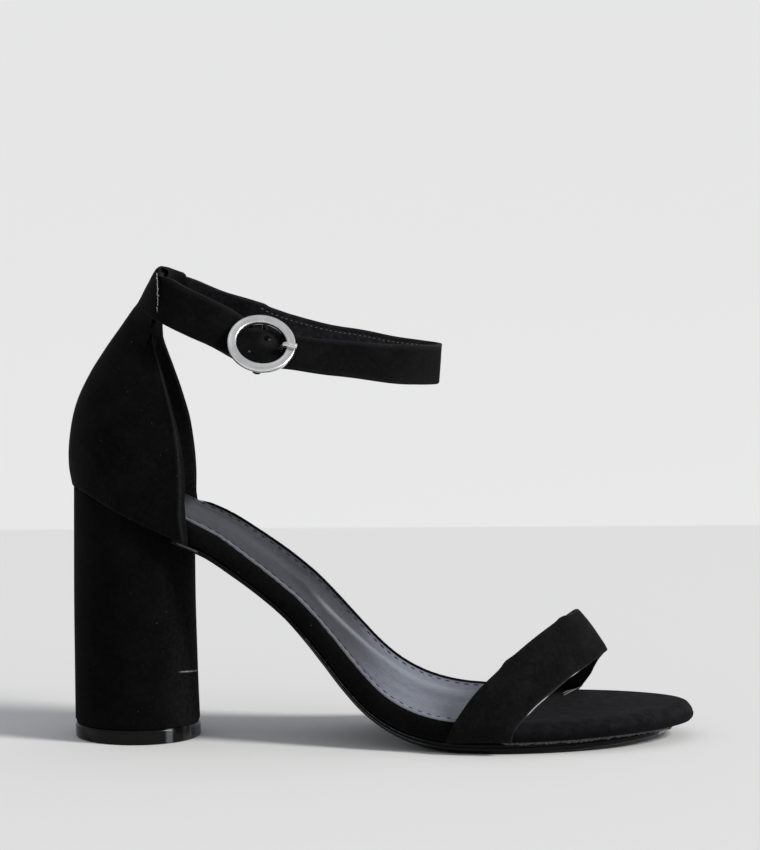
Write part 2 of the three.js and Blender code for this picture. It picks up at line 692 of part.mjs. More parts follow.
function vampStrap() {
  const last = vampRows.length - 1;
  const count = 40;
  const middle = (row) => vampEdge(row, 'back').add(vampEdge(row, 'front')).multiplyScalar(0.5);
  const stations = Array.from({ length: count + 1 }, (_, i) => {
    const row = (last * i) / count;
    const up = vampEdge(row, 'back').sub(vampEdge(row, 'front'));
    const width = up.length();
    up.normalize();
    const forward = middle(Math.min(row + 0.1, last)).sub(middle(Math.max(row - 0.1, 0))).normalize();
    const out = new THREE.Vector3().crossVectors(forward, up).normalize();
    return { middle: middle(row), up, out, width };
  });
  const board = solid(soleSlab(0, soleRun, [
    { inset: -clearance, up: (a) => outsoleUnder(a) - 1 },
    { inset: -clearance, up: -0.5 * boardEdgeRound },
    { inset: 0.4 * boardEdgeRound, up: clearance },
    { inset: 0.6 * boardEdgeRound, up: 2 * clearance + sockThickness },
  ]));
  return geometryOf(solid(band(stations, vampThickness, 0.6, vampCrown)).subtract(board));
}

const finishes = {
  suede: new THREE.MeshStandardMaterial({ color: 0x17171a, roughness: 0.95, metalness: 0 }),
  sock: new THREE.MeshStandardMaterial({ color: 0x5a5e69, roughness: 0.5, metalness: 0 }),
  sole: new THREE.MeshStandardMaterial({ color: 0x0d0d0f, roughness: 0.25, metalness: 0 }),
  metal: new THREE.MeshStandardMaterial({ color: 0xc9c8c4, roughness: 0.2, metalness: 1 }),
};

const pieces = {
  outsole: [outsole, 'sole'],
  insole_board: [insoleBoard, 'suede'],
  sock_lining: [sockLining, 'sock'],
  heel_block: [heelBlock, 'suede'],
  top_piece: [topPiece, 'sole'],
  counter: [counter, 'suede'],
  vamp_strap: [vampStrap, 'suede'],
  ankle_strap: [ankleStrap, 'suede'],
  buckle_frame: [buckleFrame, 'metal'],
  buckle_prong: [buckleProng, 'metal'],
};

const shoe = new THREE.Group();
shoe.name = 'shoe';
for (const [name, [make, finish]] of Object.entries(pieces)) {
  const mesh = new THREE.Mesh(geometryOf(solid(make())), finishes[finish].clone());
  mesh.name = name;
  shoe.add(mesh);
}

// The origin is on the floor under the middle of the shoe's box
const box = new THREE.Box3().setFromObject(shoe);
shoe.position.set(-(box.min.x + box.max.x) / 2, -(box.min.y + box.max.y) / 2, -box.min.z);

export default shoe;
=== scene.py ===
# Looks for the block heel sandal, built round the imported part. Shapes are worked out in millimetres in the
# maker's own frame, and moved to the part's frame when a vertex is placed.
import bisect
from math import acos, copysign, cos, exp, hypot, pi, radians, sin, sqrt

import bpy
from mathutils import Matrix, Vector, noise
from mathutils.bvhtree import BVHTree


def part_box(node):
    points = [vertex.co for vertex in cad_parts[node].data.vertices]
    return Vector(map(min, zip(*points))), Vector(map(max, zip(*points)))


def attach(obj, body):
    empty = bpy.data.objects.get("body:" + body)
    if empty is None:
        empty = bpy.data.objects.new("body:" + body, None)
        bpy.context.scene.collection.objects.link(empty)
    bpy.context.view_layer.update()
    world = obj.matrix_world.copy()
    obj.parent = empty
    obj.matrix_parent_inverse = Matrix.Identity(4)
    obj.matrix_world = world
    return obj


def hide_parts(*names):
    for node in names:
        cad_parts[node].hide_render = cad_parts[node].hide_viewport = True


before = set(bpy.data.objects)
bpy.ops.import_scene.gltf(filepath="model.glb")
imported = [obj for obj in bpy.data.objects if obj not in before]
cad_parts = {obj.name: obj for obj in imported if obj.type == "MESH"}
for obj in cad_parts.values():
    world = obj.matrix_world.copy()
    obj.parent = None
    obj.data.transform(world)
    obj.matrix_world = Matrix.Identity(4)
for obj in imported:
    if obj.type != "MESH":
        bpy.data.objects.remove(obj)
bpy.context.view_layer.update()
print("frame loaded:", len(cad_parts), "nodes")

shoeSize = {
    "soleLength": 207.1, "soleBack": -102, "ballWidth": 75, "heelLift": 83.4,
    "boardThickness": 7.2, "outsoleThickness": 3.2, "treadWear": 0.2, "boardEdgeRound": 2.4,
    "heelEndRound": 21.5, "toeEndRound": 60, "toeTuck": 8, "outsoleTail": 40,
    "sockThickness": 0.9, "sockInset": 1.5, "sockEnd": 170, "clearance": 0.3,
    "heelDepth": 41.4, "heelWidth": 44.4, "heelBackGap": 2.5, "topPieceHeight": 5,
    "counterWall": 1.9, "counterHeight": 68, "counterDepth": 41, "counterHalfWidth": 28,
    "strapWidth": 13.4, "strapThickness": 1.9, "strapLoopLength": 97, "strapLoopWidth": 49,
    "ankleHeight": 152.5, "strapFall": 25, "strapBack": 24.8,
    "vampThickness": 2.2, "vampCrest": 43.6, "vampReach": 53, "vampBaseX": 24.2,
}
s = shoeSize


def table(columns, rows):
    return [dict(zip(columns.split(), row)) for row in rows]


# Shares, as in the part's own tables
soleRows = table("along rise halfWidth centre roll board outsole tuck", (
    (0.000, 0.996, 0.287, 0.000, 0.0, 1.11, 0.62, 0.10),
    (0.034, 0.974, 0.287, 0.000, 0.0, 1.11, 0.62, 0.10),
    (0.087, 0.911, 0.288, 0.000, 0.0, 1.11, 0.62, 0.10),
    (0.173, 0.805, 0.293, 0.000, 0.2, 1.03, 0.62, 0.10),
    (0.231, 0.737, 0.293, -0.006, 1.4, 0.92, 0.60, 0.10),
    (0.280, 0.656, 0.291, -0.010, 2.8, 0.86, 0.57, 0.10),
    (0.328, 0.568, 0.291, -0.012, 3.8, 0.83, 0.55, 0.10),
    (0.371, 0.478, 0.293, -0.014, 4.0, 0.84, 0.55, 0.10),
    (0.405, 0.388, 0.301, -0.015, 4.0, 0.86, 0.55, 0.10),
    (0.439, 0.289, 0.317, -0.012, 4.0, 0.89, 0.57, 0.11),
    (0.472, 0.194, 0.341, -0.007, 3.9, 0.93, 0.62, 0.12),
    (0.506, 0.115, 0.376, -0.002, 3.6, 0.97, 0.70, 0.15),
    (0.545, 0.057, 0.416, 0.003, 2.6, 1.00, 0.84, 0.19),
    (0.588, 0.021, 0.452, 0.008, 1.5, 0.97, 1.05, 0.24),
    (0.631, 0.005, 0.482, 0.012, 0.5, 0.93, 1.18, 0.28),
    (0.694, 0.000, 0.499, 0.016, 0.0, 0.90, 1.25, 0.34),
    (0.780, 0.002, 0.483, 0.018, 0.0, 0.88, 1.22, 0.41),
    (0.896, 0.011, 0.470, 0.030, 0.0, 0.86, 1.05, 0.53),
    (0.950, 0.016, 0.458, 0.042, 0.0, 0.88, 0.98, 0.70),
    (1.000, 0.020, 0.440, 0.062, 0.0, 0.90, 1.00, 1.00),
))
heelRows = table("level back front halfWidth", (
    (0.00, -0.512, 0.520, 0.486),
    (0.12, -0.512, 0.510, 0.481),
    (0.30, -0.512, 0.498, 0.478),
    (0.60, -0.512, 0.485, 0.484),
    (1.00, -0.500, 0.490, 0.500),
    (1.30, -0.500, 0.490, 0.500),
))
counterRows = table("backUp backX frontUp frontX halfWidth round outer", (
    (-0.060, -0.010, -0.400, 0.985, 0.845, 0.80, 0.00),
    (0.000, -0.020, -0.290, 0.990, 0.850, 0.80, 0.00),
    (0.115, -0.050, -0.120, 0.945, 0.915, 0.86, 0.02),
    (0.250, -0.040, 0.020, 0.940, 0.980, 0.93, 0.035),
    (0.400, 0.012, 0.150, 0.925, 1.000, 0.97, 0.045),
    (0.545, 0.120, 0.305, 0.890, 0.965, 0.97, 0.045),
    (0.685, 0.265, 0.450, 0.830, 0.880, 0.90, 0.04),
    (0.790, 0.390, 0.585, 0.765, 0.790, 0.82, 0.03),
    (0.870, 0.485, 0.715, 0.700, 0.725, 0.76, 0.02),
    (0.920, 0.552, 0.830, 0.690, 0.712, 0.74, 0.00),
    (0.975, 0.625, 0.940, 0.700, 0.700, 0.74, 0.00),
))
strapRows = table("x y fall lean", (
    (0.400, -0.458, 0.785, 42), (0.332, -0.461, 0.622, 36), (0.257, -0.462, 0.442, 26),
    (0.180, -0.453, 0.304, 18), (0.103, -0.414, 0.172, 18), (0.041, -0.322, 0.060, 22),
    (0.010, -0.184, 0.012, 27), (0.000, 0.000, 0.004, 30), (0.010, 0.184, 0.042, 28),
    (0.041, 0.322, 0.118, 24), (0.103, 0.414, 0.220, 18), (0.206, 0.469, 0.388, 20),
    (0.320, 0.498, 0.516, 24), (0.454, 0.502, 0.676, 28), (0.598, 0.459, 0.804, 30),
    (0.722, 0.380, 0.864, 28), (0.835, 0.265, 0.940, 20), (0.928, 0.155, 0.984, 6),
    (0.984, 0.068, 1.000, -4), (0.993, 0.000, 1.000, -5), (0.984, -0.068, 1.000, -4),
    (0.928, -0.155, 0.984, 4), (0.843, -0.265, 0.948, 23), (0.718, -0.386, 0.870, 35),
    (0.608, -0.460, 0.810, 40), (0.512, -0.500, 0.748, 43), (0.400, -0.516, 0.692, 43),
    (0.310, -0.520, 0.606, 41),
))
vampRows = table("backX backY backZ frontX frontY frontZ", (
    (-0.020, -0.462, 0.094, 0.396, -0.495, 0.110),
    (0.038, -0.466, 0.243, 0.430, -0.488, 0.225),
    (0.155, -0.435, 0.450, 0.530, -0.430, 0.355),
    (0.285, -0.370, 0.600, 0.640, -0.345, 0.455),
    (0.455, -0.262, 0.780, 0.765, -0.225, 0.550),
    (0.665, -0.125, 0.945, 0.895, -0.100, 0.630),
    (0.772, 0.000, 0.985, 0.962, 0.010, 0.665),
    (0.742, 0.115, 0.955, 0.945, 0.120, 0.620),
    (0.655, 0.235, 0.840, 0.905, 0.235, 0.530),
    (0.545, 0.345, 0.650, 0.862, 0.335, 0.415),
    (0.435, 0.440, 0.435, 0.790, 0.420, 0.285),
    (0.335, 0.512, 0.235, 0.720, 0.492, 0.175),
    (0.295, 0.533, 0.094, 0.690, 0.505, 0.110),
))


def curveOf(rows, column, key=None):
    xs = [row[key] if key else i for i, row in enumerate(rows)]
    ys = [row[column] for row in rows]
    slopes = []
    for i in range(len(ys)):
        a, b = max(i - 1, 0), min(i + 1, len(ys) - 1)
        slopes.append((ys[b] - ys[a]) / (xs[b] - xs[a]))

    def read(value):
        i = min(max(bisect.bisect_left(xs, value) - 1, 0), len(xs) - 2)
        span = xs[i + 1] - xs[i]
        t = (value - xs[i]) / span
        return ((2 * t**3 - 3 * t**2 + 1) * ys[i] + (t**3 - 2 * t**2 + t) * span * slopes[i]
                + (3 * t**2 - 2 * t**3) * ys[i + 1] + (t**3 - t**2) * span * slopes[i + 1])
    return read


def curvesOf(rows, key=None):
    return {column: curveOf(rows, column, key) for column in rows[0]}


soleAt = curvesOf(soleRows, "along")
heelAt = curvesOf(heelRows, "level")
counterAt = curvesOf(counterRows)
strapAt = curvesOf(strapRows)
vampAt = curvesOf(vampRows)

ballTop = (s["outsoleThickness"] * soleRows[15]["outsole"] + s["clearance"]
           + s["boardThickness"] * soleRows[15]["board"] - s["treadWear"])
heelMiddle = s["soleBack"] - s["heelBackGap"] + s["heelDepth"] / 2
heelBackTop = ballTop + s["heelLift"] - s["boardThickness"] * soleRows[0]["board"]
treadLow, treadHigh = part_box("top_piece")
treadMiddle = (treadLow + treadHigh) * 500
shoeShift = Vector((treadMiddle.x - heelMiddle - s["heelDepth"] * 0.004, treadMiddle.y, 0))


def smooth(value, low, high):
    t = min(max((value - low) / (high - low), 0), 1)
    return t * t * (3 - 2 * t)


def between(value, low, high, end, past):
    # rises from low to high and falls again from end to past
    return smooth(value, low, high) * (1 - smooth(value, end, past))


def bell(value, middle, width):
    return exp(-((value - middle) / width) ** 2)


def waver(*place):
    return noise.noise(Vector(place))


def drift(point, layers):
    # unevenness in layers of (frequency, size)
    return sum(noise.noise(point * frequency) * size for frequency, size in layers)


def turnAt(step, steps):
    return 2 * pi * (step % steps) / steps


def inMetres(point):
    return (point + shoeShift) * 0.001


# The sole line
def soleX(along):
    return s["soleBack"] + along * s["soleLength"]


def soleZ(along):
    return ballTop + s["heelLift"] * soleAt["rise"](along)


soleSteps = 800
soleRuns = [0.0]
for i in range(1, soleSteps + 1):
    rise = soleZ(i / soleSteps) - soleZ((i - 1) / soleSteps)
    soleRuns.append(soleRuns[-1] + hypot(s["soleLength"] / soleSteps, rise))
soleRun = soleRuns[-1]


def alongAt(run):
    i = min(max(bisect.bisect_left(soleRuns, run), 1), soleSteps)
    return (i - 1 + (run - soleRuns[i - 1]) / (soleRuns[i] - soleRuns[i - 1])) / soleSteps


def solePoint(run, side, up):
    along = alongAt(run)
    low, high = max(along - 0.004, 0), min(along + 0.004, 1)
    forward = Vector((soleX(high) - soleX(low), 0, soleZ(high) - soleZ(low))).normalized()
    across = Matrix.Rotation(radians(soleAt["roll"](along)), 3, forward) @ Vector((0, 1, 0))
    return Vector((soleX(along), 0, soleZ(along))) + across * side + forward.cross(across) * up


def boardUnder(along):
    return -s["boardThickness"] * soleAt["board"](along)


def outsoleUpper(along):
    return boardUnder(along) - s["clearance"]


def outsoleUnder(along):
    return outsoleUpper(along) - s["outsoleThickness"] * soleAt["outsole"](along)


def underAt(x, y, under):
    # height of a layer's underside over a point of the floor
    along = min(max((x - s["soleBack"]) / s["soleLength"], 0), 1)
    for _ in range(6):
        point = solePoint(soleRuns[int(along * soleSteps)], y, under(along))
        along = min(max(along + (x - point.x) / s["soleLength"], 0), 1)
    slope = (soleZ(min(along + 0.01, 1)) - soleZ(along)) / (0.01 * s["soleLength"])
    return point.z + (x - point.x) * slope


# Meshes: a grid primitive is added and its corners are set, then its seam and ends are closed
def deselectAll():
    bpy.ops.object.select_all(action="DESELECT")


def onlyThis(piece):
    deselectAll()
    piece.select_set(True)
    bpy.context.view_layer.objects.active = piece


def gridPiece(name, uSteps, vSteps, place, marks=None):
    # marks(u, v) gives how much wear and painted highlight the surface has there, and how much it is lining,
    # each from 0 to 1
    deselectAll()
    bpy.ops.mesh.primitive_grid_add(x_subdivisions=uSteps, y_subdivisions=vSteps, size=1, calc_uvs=True)
    piece = bpy.context.object
    piece.name = name
    piece.data.name = name
    worn = piece.data.attributes.new("worn", "FLOAT", "POINT") if marks else None
    lining = piece.data.attributes.new("lining", "FLOAT", "POINT") if marks else None
    for vertex in piece.data.vertices:
        u = round((vertex.co.x + 0.5) * uSteps)
        v = round((vertex.co.y + 0.5) * vSteps)
        vertex.co = inMetres(place(u, v))
        if marks:
            worn.data[vertex.index].value, lining.data[vertex.index].value = marks(u, v)
    return piece


def closeSeams(piece, capped=True):
    onlyThis(piece)
    bpy.ops.object.mode_set(mode="EDIT")
    bpy.ops.mesh.select_mode(type="VERT")
    bpy.ops.mesh.select_all(action="SELECT")
    bpy.ops.mesh.remove_doubles(threshold=0.000002)
    bpy.ops.mesh.dissolve_degenerate(threshold=0.000001)
    if capped:
        bpy.ops.mesh.select_all(action="DESELECT")
        bpy.ops.mesh.select_non_manifold(extend=False, use_wire=False, use_boundary=True,
                                         use_multi_face=False, use_non_contiguous=False, use_verts=False)
        bpy.ops.mesh.fill_holes(sides=0)
    bpy.ops.mesh.select_all(action="SELECT")
    bpy.ops.mesh.normals_make_consistent(inside=False)
    bpy.ops.object.mode_set(mode="OBJECT")
    return piece


def dressed(piece, angle, material, slot, *nodes):
    # smooth shading up to an angle, the material, and the solids that the piece stands for
    onlyThis(piece)
    bpy.ops.object.shade_smooth_by_angle(angle=radians(angle))
    piece.data.materials.append(material)
    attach(piece, "root")
    if nodes:
        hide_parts(*nodes)


# Shader trees
class Wire:
    def __init__(self, tree, socket=None):
        self.tree = tree
        self.socket = socket

    def node(self, kind, settings=None, values=None, out=0):
        made = self.tree.nodes.new("ShaderNode" + kind)
        for name, value in (settings or {}).items():
            if name == "stops":
                ramp = made.color_ramp
                while len(ramp.elements) < len(value):
                    ramp.elements.new(0.5)
                for element, (place, shade) in zip(ramp.elements, value):
                    element.position = place
                    element.color = (*shade, 1) if isinstance(shade, tuple) else (shade, shade, shade, 1)
            else:
                setattr(made, name, value)
        for name, value in (values or {}).items():
            if isinstance(value, Wire):
                self.tree.links.new(value.socket, made.inputs[name])
            elif isinstance(value, tuple) and len(value) == 3 and made.inputs[name].type == "RGBA":
                made.inputs[name].default_value = (*value, 1)
            else:
                made.inputs[name].default_value = value
        return Wire(self.tree, made.outputs[out])

    def maths(self, operation, first, second=0.0, clamp=False):
        settings = {"operation": operation, "use_clamp": clamp}
        return self.node("Math", settings, {0: first, 1: second})

    def __add__(self, other):
        return self.maths("ADD", self, other)

    def __radd__(self, other):
        return self.maths("ADD", other, self)

    def __sub__(self, other):
        return self.maths("SUBTRACT", self, other)

    def __rsub__(self, other):
        return self.maths("SUBTRACT", other, self)

    def __mul__(self, other):
        return self.maths("MULTIPLY", self, other)

    def __rmul__(self, other):
        return self.maths("MULTIPLY", other, self)

    def clamped(self):
        return self.maths("ADD", self, 0.0, clamp=True)

    def mixed(self, low, high):
        # two colours, by this value
        return self.node("Mix", {"data_type": "RGBA"}, {0: self, 6: low, 7: high}, out=2)

    def above(self, edge, soft):
        # 0 below the edge, 1 above it
        return self.node("MapRange", {"interpolation_type": "SMOOTHSTEP"},
                         {0: self, 1: edge - soft, 2: edge + soft, 3: 0.0, 4: 1.0})

    def cloud(self, scale, detail=2.0, roughness=0.5, stretch=None):
        # noise at this place
        place = self.node("Mapping", None, {"Vector": self, "Scale": stretch}) if stretch else self
        values = {"Vector": place, "Scale": scale, "Detail": detail, "Roughness": roughness}
        return self.node("TexNoise", None, values)

    def split(self):
        parts = self.node("SeparateXYZ", None, {0: self}).socket.node
        return [Wire(self.tree, parts.outputs[i]) for i in range(3)]

    def near(self, point, radius, soft):
        # 1 within a radius of a point, 0 outside it
        away = self.node("VectorMath", {"operation": "DISTANCE"}, {0: self, 1: tuple(point)}, out=1)
        return 1 - away.above(radius, soft)

    def mark(self, name):
        # how much wear and painted highlight a mesh has, or how much lining, as its corners say
        return self.node("Attribute", {"attribute_name": name}, out=2)


def socketOf(material, name):
    return material.node_tree.nodes["Principled BSDF"].inputs[name.replace("_", " ")]


def finishNamed(name, **constants):
    # a new material with its constant values, and the place on the object that its patterns start from
    material = bpy.data.materials.new(name)
    material.use_nodes = True
    for socket, value in constants.items():
        socketOf(material, socket).default_value = value
    return material, Wire(material.node_tree).node("TexCoord", out=3)


def fed(material, bump=None, **links):
    # what varies over the surface; bump is strength, distance in metres, and height
    tree = material.node_tree
    if bump:
        links["Normal"] = Wire(tree).node("Bump", None, dict(zip(("Strength", "Distance", "Height"), bump)))
    for socket, wire in links.items():
        tree.links.new(wire.socket, socketOf(material, socket))
    return material


suede = {
    "tone": (0.0016, 0.0017, 0.0018), "brushed": (0.0056, 0.0057, 0.0062), "worn": (0.030, 0.030, 0.032),
    "lining": (0.015, 0.015, 0.018), "fleck": (0.043, 0.042, 0.047), "lint": (0.11, 0.11, 0.12),
    "nap": 2600, "tufts": 700, "patches": 95, "gloss": 0.05, "sheen": 0.015, "rough": 0.88, "bump": 0.55,
    "grain": 0.00012,
}


def suedeFinish(name, lift=1.0, toeSheenStrokes=None, lint=0.0, extra=None):
    # lift makes it paler or darker, for copies that paint how much light falls on each part; the toe's
    # strokes are brushed strokes with a painted sheen on the toe's upper face, and lint is pale specks
    material, coords = finishNamed(
        name, Specular_IOR_Level=suede["gloss"], Sheen_Weight=suede["sheen"] * lift, Sheen_Roughness=0.5)
    nap = coords.cloud(suede["nap"], 3.0, 0.65)
    patches = coords.cloud(suede["patches"], 4.0, 0.6)
    tufts = coords.cloud(suede["tufts"], 2.0, 0.6)
    brushed = patches.above(0.54, 0.16) * 0.45 + nap.above(0.58, 0.12) * 0.3 + tufts.above(0.56, 0.14) * 0.35
    low = tuple(c * lift for c in suede["tone"])
    high = tuple(c * lift for c in suede["brushed"])
    colour = brushed.clamped().mixed(low, high)
    if toeSheenStrokes:
        # painted sheen: the toe's upper face, above a height, is painted lighter than its sides, with
        # strokes brushed along the foot
        strokes = coords.cloud(toeSheenStrokes["scale"], 6.0, 0.76, toeSheenStrokes["stretch"])
        fore, _, high = coords.split()
        toe = (fore + patches * 0.006).above(toeSheenStrokes["from"], 0.004) * high.above(0.0078, 0.0034)
        stroked = strokes.above(0.51, 0.17).mixed(toeSheenStrokes["low"], toeSheenStrokes["high"])
        colour = (toe * (0.35 + 0.65 * nap)).clamped().mixed(colour, stroked)
    # wear and painted highlights, where the marks say, in one pale colour
    worn = coords.mark("worn") * (0.4 + 0.9 * nap.above(0.5, 0.2))
    colour = worn.clamped().mixed(colour, suede["worn"])
    flecked = (nap * 0.6 + tufts * 0.4).above(0.52, 0.10).mixed(suede["lining"], suede["fleck"])
    colour = coords.mark("lining").mixed(colour, flecked)
    if lint:
        specks = coords.cloud(900, 1.0, 0.5).above(0.80, 0.02) * lint
        colour = specks.clamped().mixed(colour, suede["lint"])
    if extra:
        colour = extra(coords, colour)
    height = nap * 0.6 + tufts * 0.7 + patches * 0.6
    return fed(material, (suede["bump"], suede["grain"], height), Base_Color=colour,
               Roughness=suede["rough"] + nap * (1 - suede["rough"]))


sockLook = {
    "arch": ((0.010, 0.0112, 0.016), (0.034, 0.036, 0.048)),
    "ball": ((0.100, 0.111, 0.142), (0.172, 0.186, 0.226)),
    "ridge": (0.25, 0.27, 0.31), "ballFrom": 0.003, "gloss": 0.42, "pearl": 22, "grain": 1500, "flecks": 520,
}


def sockFinish():
    material, coords = finishNamed("sockLeather", Specular_IOR_Level=0.16, Coat_Roughness=0.4)
    pearl = coords.cloud(sockLook["pearl"], 3.0, 0.55, (1.0, 2.6, 1.0))
    grain = coords.cloud(sockLook["grain"], 3.0, 0.6)
    flecks = coords.cloud(sockLook["flecks"], 4.0, 0.72)
    mottle = pearl * 0.5 + flecks * 0.5
    # painted light and shade: the arch is painted darker and the ball paler, for how the light falls on them
    low = (coords.split()[0] + pearl * 0.010).above(sockLook["ballFrom"], 0.013)
    colour = low.mixed(*(mottle.above(0.5, 0.13).mixed(*sockLook[place]) for place in ("arch", "ball")))
    # the painted highlight on the ridge and the pale outer edge, where the marks say
    colour = (coords.mark("worn") * (0.5 + grain)).clamped().mixed(colour, sockLook["ridge"])
    return fed(material, (0.35, 0.00012, grain * 0.6 + pearl * 1.2), Base_Color=colour,
               Roughness=sockLook["gloss"] + grain * 0.12 - 0.06, Coat_Weight=pearl * 0.08)


gloss = {"smears": 45, "scratches": 700, "bump": 0.2, "depth": 0.00004, "coatRough": 0.12}


def glossFinish(name, shine, tone, worn, roughness, scratches, extra=None):
    material, coords = finishNamed(name, Specular_IOR_Level=shine, Coat_Roughness=gloss["coatRough"])
    smear = coords.cloud(gloss["smears"], 4.0, 0.6)
    fine = coords.cloud(gloss["scratches"], 2.0, 0.6, scratches)
    colour = smear.above(0.55, 0.2).mixed(tone, worn)
    if extra:
        colour = extra(coords, colour)
    return fed(material, (gloss["bump"], gloss["depth"], fine + smear), Base_Color=colour,
               Roughness=roughness + smear * 0.10 + fine * 0.05, Coat_Weight=0.08 - smear * 0.06)


# the place is in millimetres as the shapes are, and the lengths of the heel tip's strip are in metres
glints = {
    "toe": (94.5, -5.0, 3.2), "toeRadius": 0.0026, "toeSoft": 0.0012, "toeTone": (0.30, 0.36, 0.42),
    "stripFrom": 0.0115, "stripTo": 0.0134, "stripTone": (0.085, 0.100, 0.106),
    "endFrom": 0.0172, "endTone": (0.040, 0.042, 0.042),
}


def toeGlint(coords, colour):
    # painted glint: a pale bluish reflection painted on the toe end of the outsole
    spot = inMetres(Vector(glints["toe"]))
    rough = coords.cloud(600, 2.0, 0.6)
    glint = coords.near(spot, glints["toeRadius"], glints["toeSoft"]) * (0.5 + rough)
    return glint.clamped().mixed(colour, glints["toeTone"])


def treadGlint(coords, colour):
    # painted reflections: an upright glint strip on the outer front of the heel tip, and a paler painted
    # glint at its front end
    fore, across, _ = coords.split()
    middle = treadMiddle * 0.001
    outer = 1 - across.above(middle.y, 0.002)
    glintMottle = coords.cloud(420, 3.0, 0.65, (1, 1, 0.25))
    begun = fore.above(middle.x + glints["stripFrom"], 0.0006)
    strip = begun * (1 - fore.above(middle.x + glints["stripTo"], 0.0005))
    colour = (strip * outer * (0.45 + glintMottle)).clamped().mixed(colour, glints["stripTone"])
    ended = fore.above(middle.x + glints["endFrom"], 0.0012) * outer * glintMottle.above(0.46, 0.14)
    return ended.clamped().mixed(colour, glints["endTone"])


metal = {"tarnish": 160, "brushing": 1800, "rough": 0.2, "bump": 0.18, "depth": 0.00004}


def metalFinish(name, dull, bright):
    material, coords = finishNamed(name, Specular_IOR_Level=0.5)
    tarnish = coords.cloud(metal["tarnish"], 3.0, 0.6)
    brushing = coords.cloud(metal["brushing"], 2.0, 0.7)
    colour = tarnish.above(0.52, 0.2).mixed(dull, bright)
    return fed(material, (metal["bump"], metal["depth"], brushing), Base_Color=colour,
               Roughness=metal["rough"] + tarnish * 0.12 + brushing * 0.05, Metallic=1.0 - tarnish * 0.02)


thread = {"twist": 2400, "rough": 0.7, "bump": 0.5, "depth": 0.0001}


def threadFinish(name, tone, worn):
    material, coords = finishNamed(name, Specular_IOR_Level=0.3, Sheen_Weight=0.1)
    twist = coords.cloud(thread["twist"], 2.0, 0.5)
    return fed(material, (thread["bump"], thread["depth"], twist), Roughness=thread["rough"] + twist * 0.2,
               Base_Color=twist.above(0.5, 0.2).mixed(tone, worn))


# lit and shaded copies of one suede: lift paints the vamp paler, and the board and the heel darker, for how
# much light falls on each part
suedeUpper = suedeFinish("suedeUpper", lift=1.0, lint=0.4)
suedeVamp = suedeFinish("suedeVamp", lift=1.5, lint=0.2)
suedeBoard = suedeFinish("suedeBoard", lift=0.8, lint=0.5, toeSheenStrokes={
    "scale": 420, "stretch": (0.5, 0.62, 0.9), "from": 0.047,
    "low": (0.0068, 0.0068, 0.0082), "high": (0.0195, 0.0195, 0.0228)})
sockLeather = sockFinish()
glossSole = glossFinish("glossSole", 0.10, (0.0018, 0.0018, 0.002), (0.005, 0.005, 0.0055), 0.16,
                        (0.2, 1, 1), toeGlint)
glossTread = glossFinish("glossTread", 0.11, (0.0025, 0.0025, 0.0027), (0.006, 0.006, 0.0065), 0.10,
                         (1, 1, 0.2), treadGlint)
buckleMetal = metalFinish("buckleMetal", (0.76, 0.76, 0.745), (0.92, 0.92, 0.91))
# painted shade: the bar is a darkened copy of the buckle's metal
shadedBarMetal = metalFinish("shadedBarMetal", (0.03, 0.03, 0.03), (0.07, 0.07, 0.07))
darkThread = threadFinish("darkThread", (0.003, 0.003, 0.004), (0.008, 0.008, 0.009))
strapThread = threadFinish("strapThread", (0.09, 0.09, 0.10), (0.26, 0.26, 0.28))
fuzzLine = threadFinish("fuzzLine", (0.010, 0.010, 0.010), (0.11, 0.11, 0.11))
waistLine = threadFinish("waistLine", (0.035, 0.038, 0.042), (0.08, 0.084, 0.09))
rawEdge = threadFinish("rawEdge", (0.18, 0.18, 0.18), (0.48, 0.48, 0.47))
liningEdgeGlint = threadFinish("liningEdgeGlint", (0.10, 0.10, 0.10), (0.26, 0.26, 0.26))


satin = {
    "low": (0.006, 0.006, 0.007), "high": (0.012, 0.012, 0.014), "cut": (0.40, 0.40, 0.41), "grain": 1200,
    "rough": 0.45, "bump": 0.3, "depth": 0.00008,
}


def satinFinish():
    # smooth dark lining, with a painted highlight where its cut edge catches the light
    material, coords = finishNamed("liningSatin", Specular_IOR_Level=0.3)
    grain = coords.cloud(satin["grain"], 3.0, 0.6)
    colour = grain.above(0.5, 0.2).mixed(satin["low"], satin["high"])
    colour = (coords.mark("worn") * (0.6 + grain * 0.8)).clamped().mixed(colour, satin["cut"])
    return fed(material, (satin["bump"], satin["depth"], grain), Base_Color=colour,
               Roughness=satin["rough"] + grain * 0.15)


liningSatin = satinFinish()
print("finishes made:", len(bpy.data.materials))


# Sole pieces
def endRound(distance, length):
    t = 1 - min(distance / length, 1)
    return sqrt(max(1 - t * t, 0))


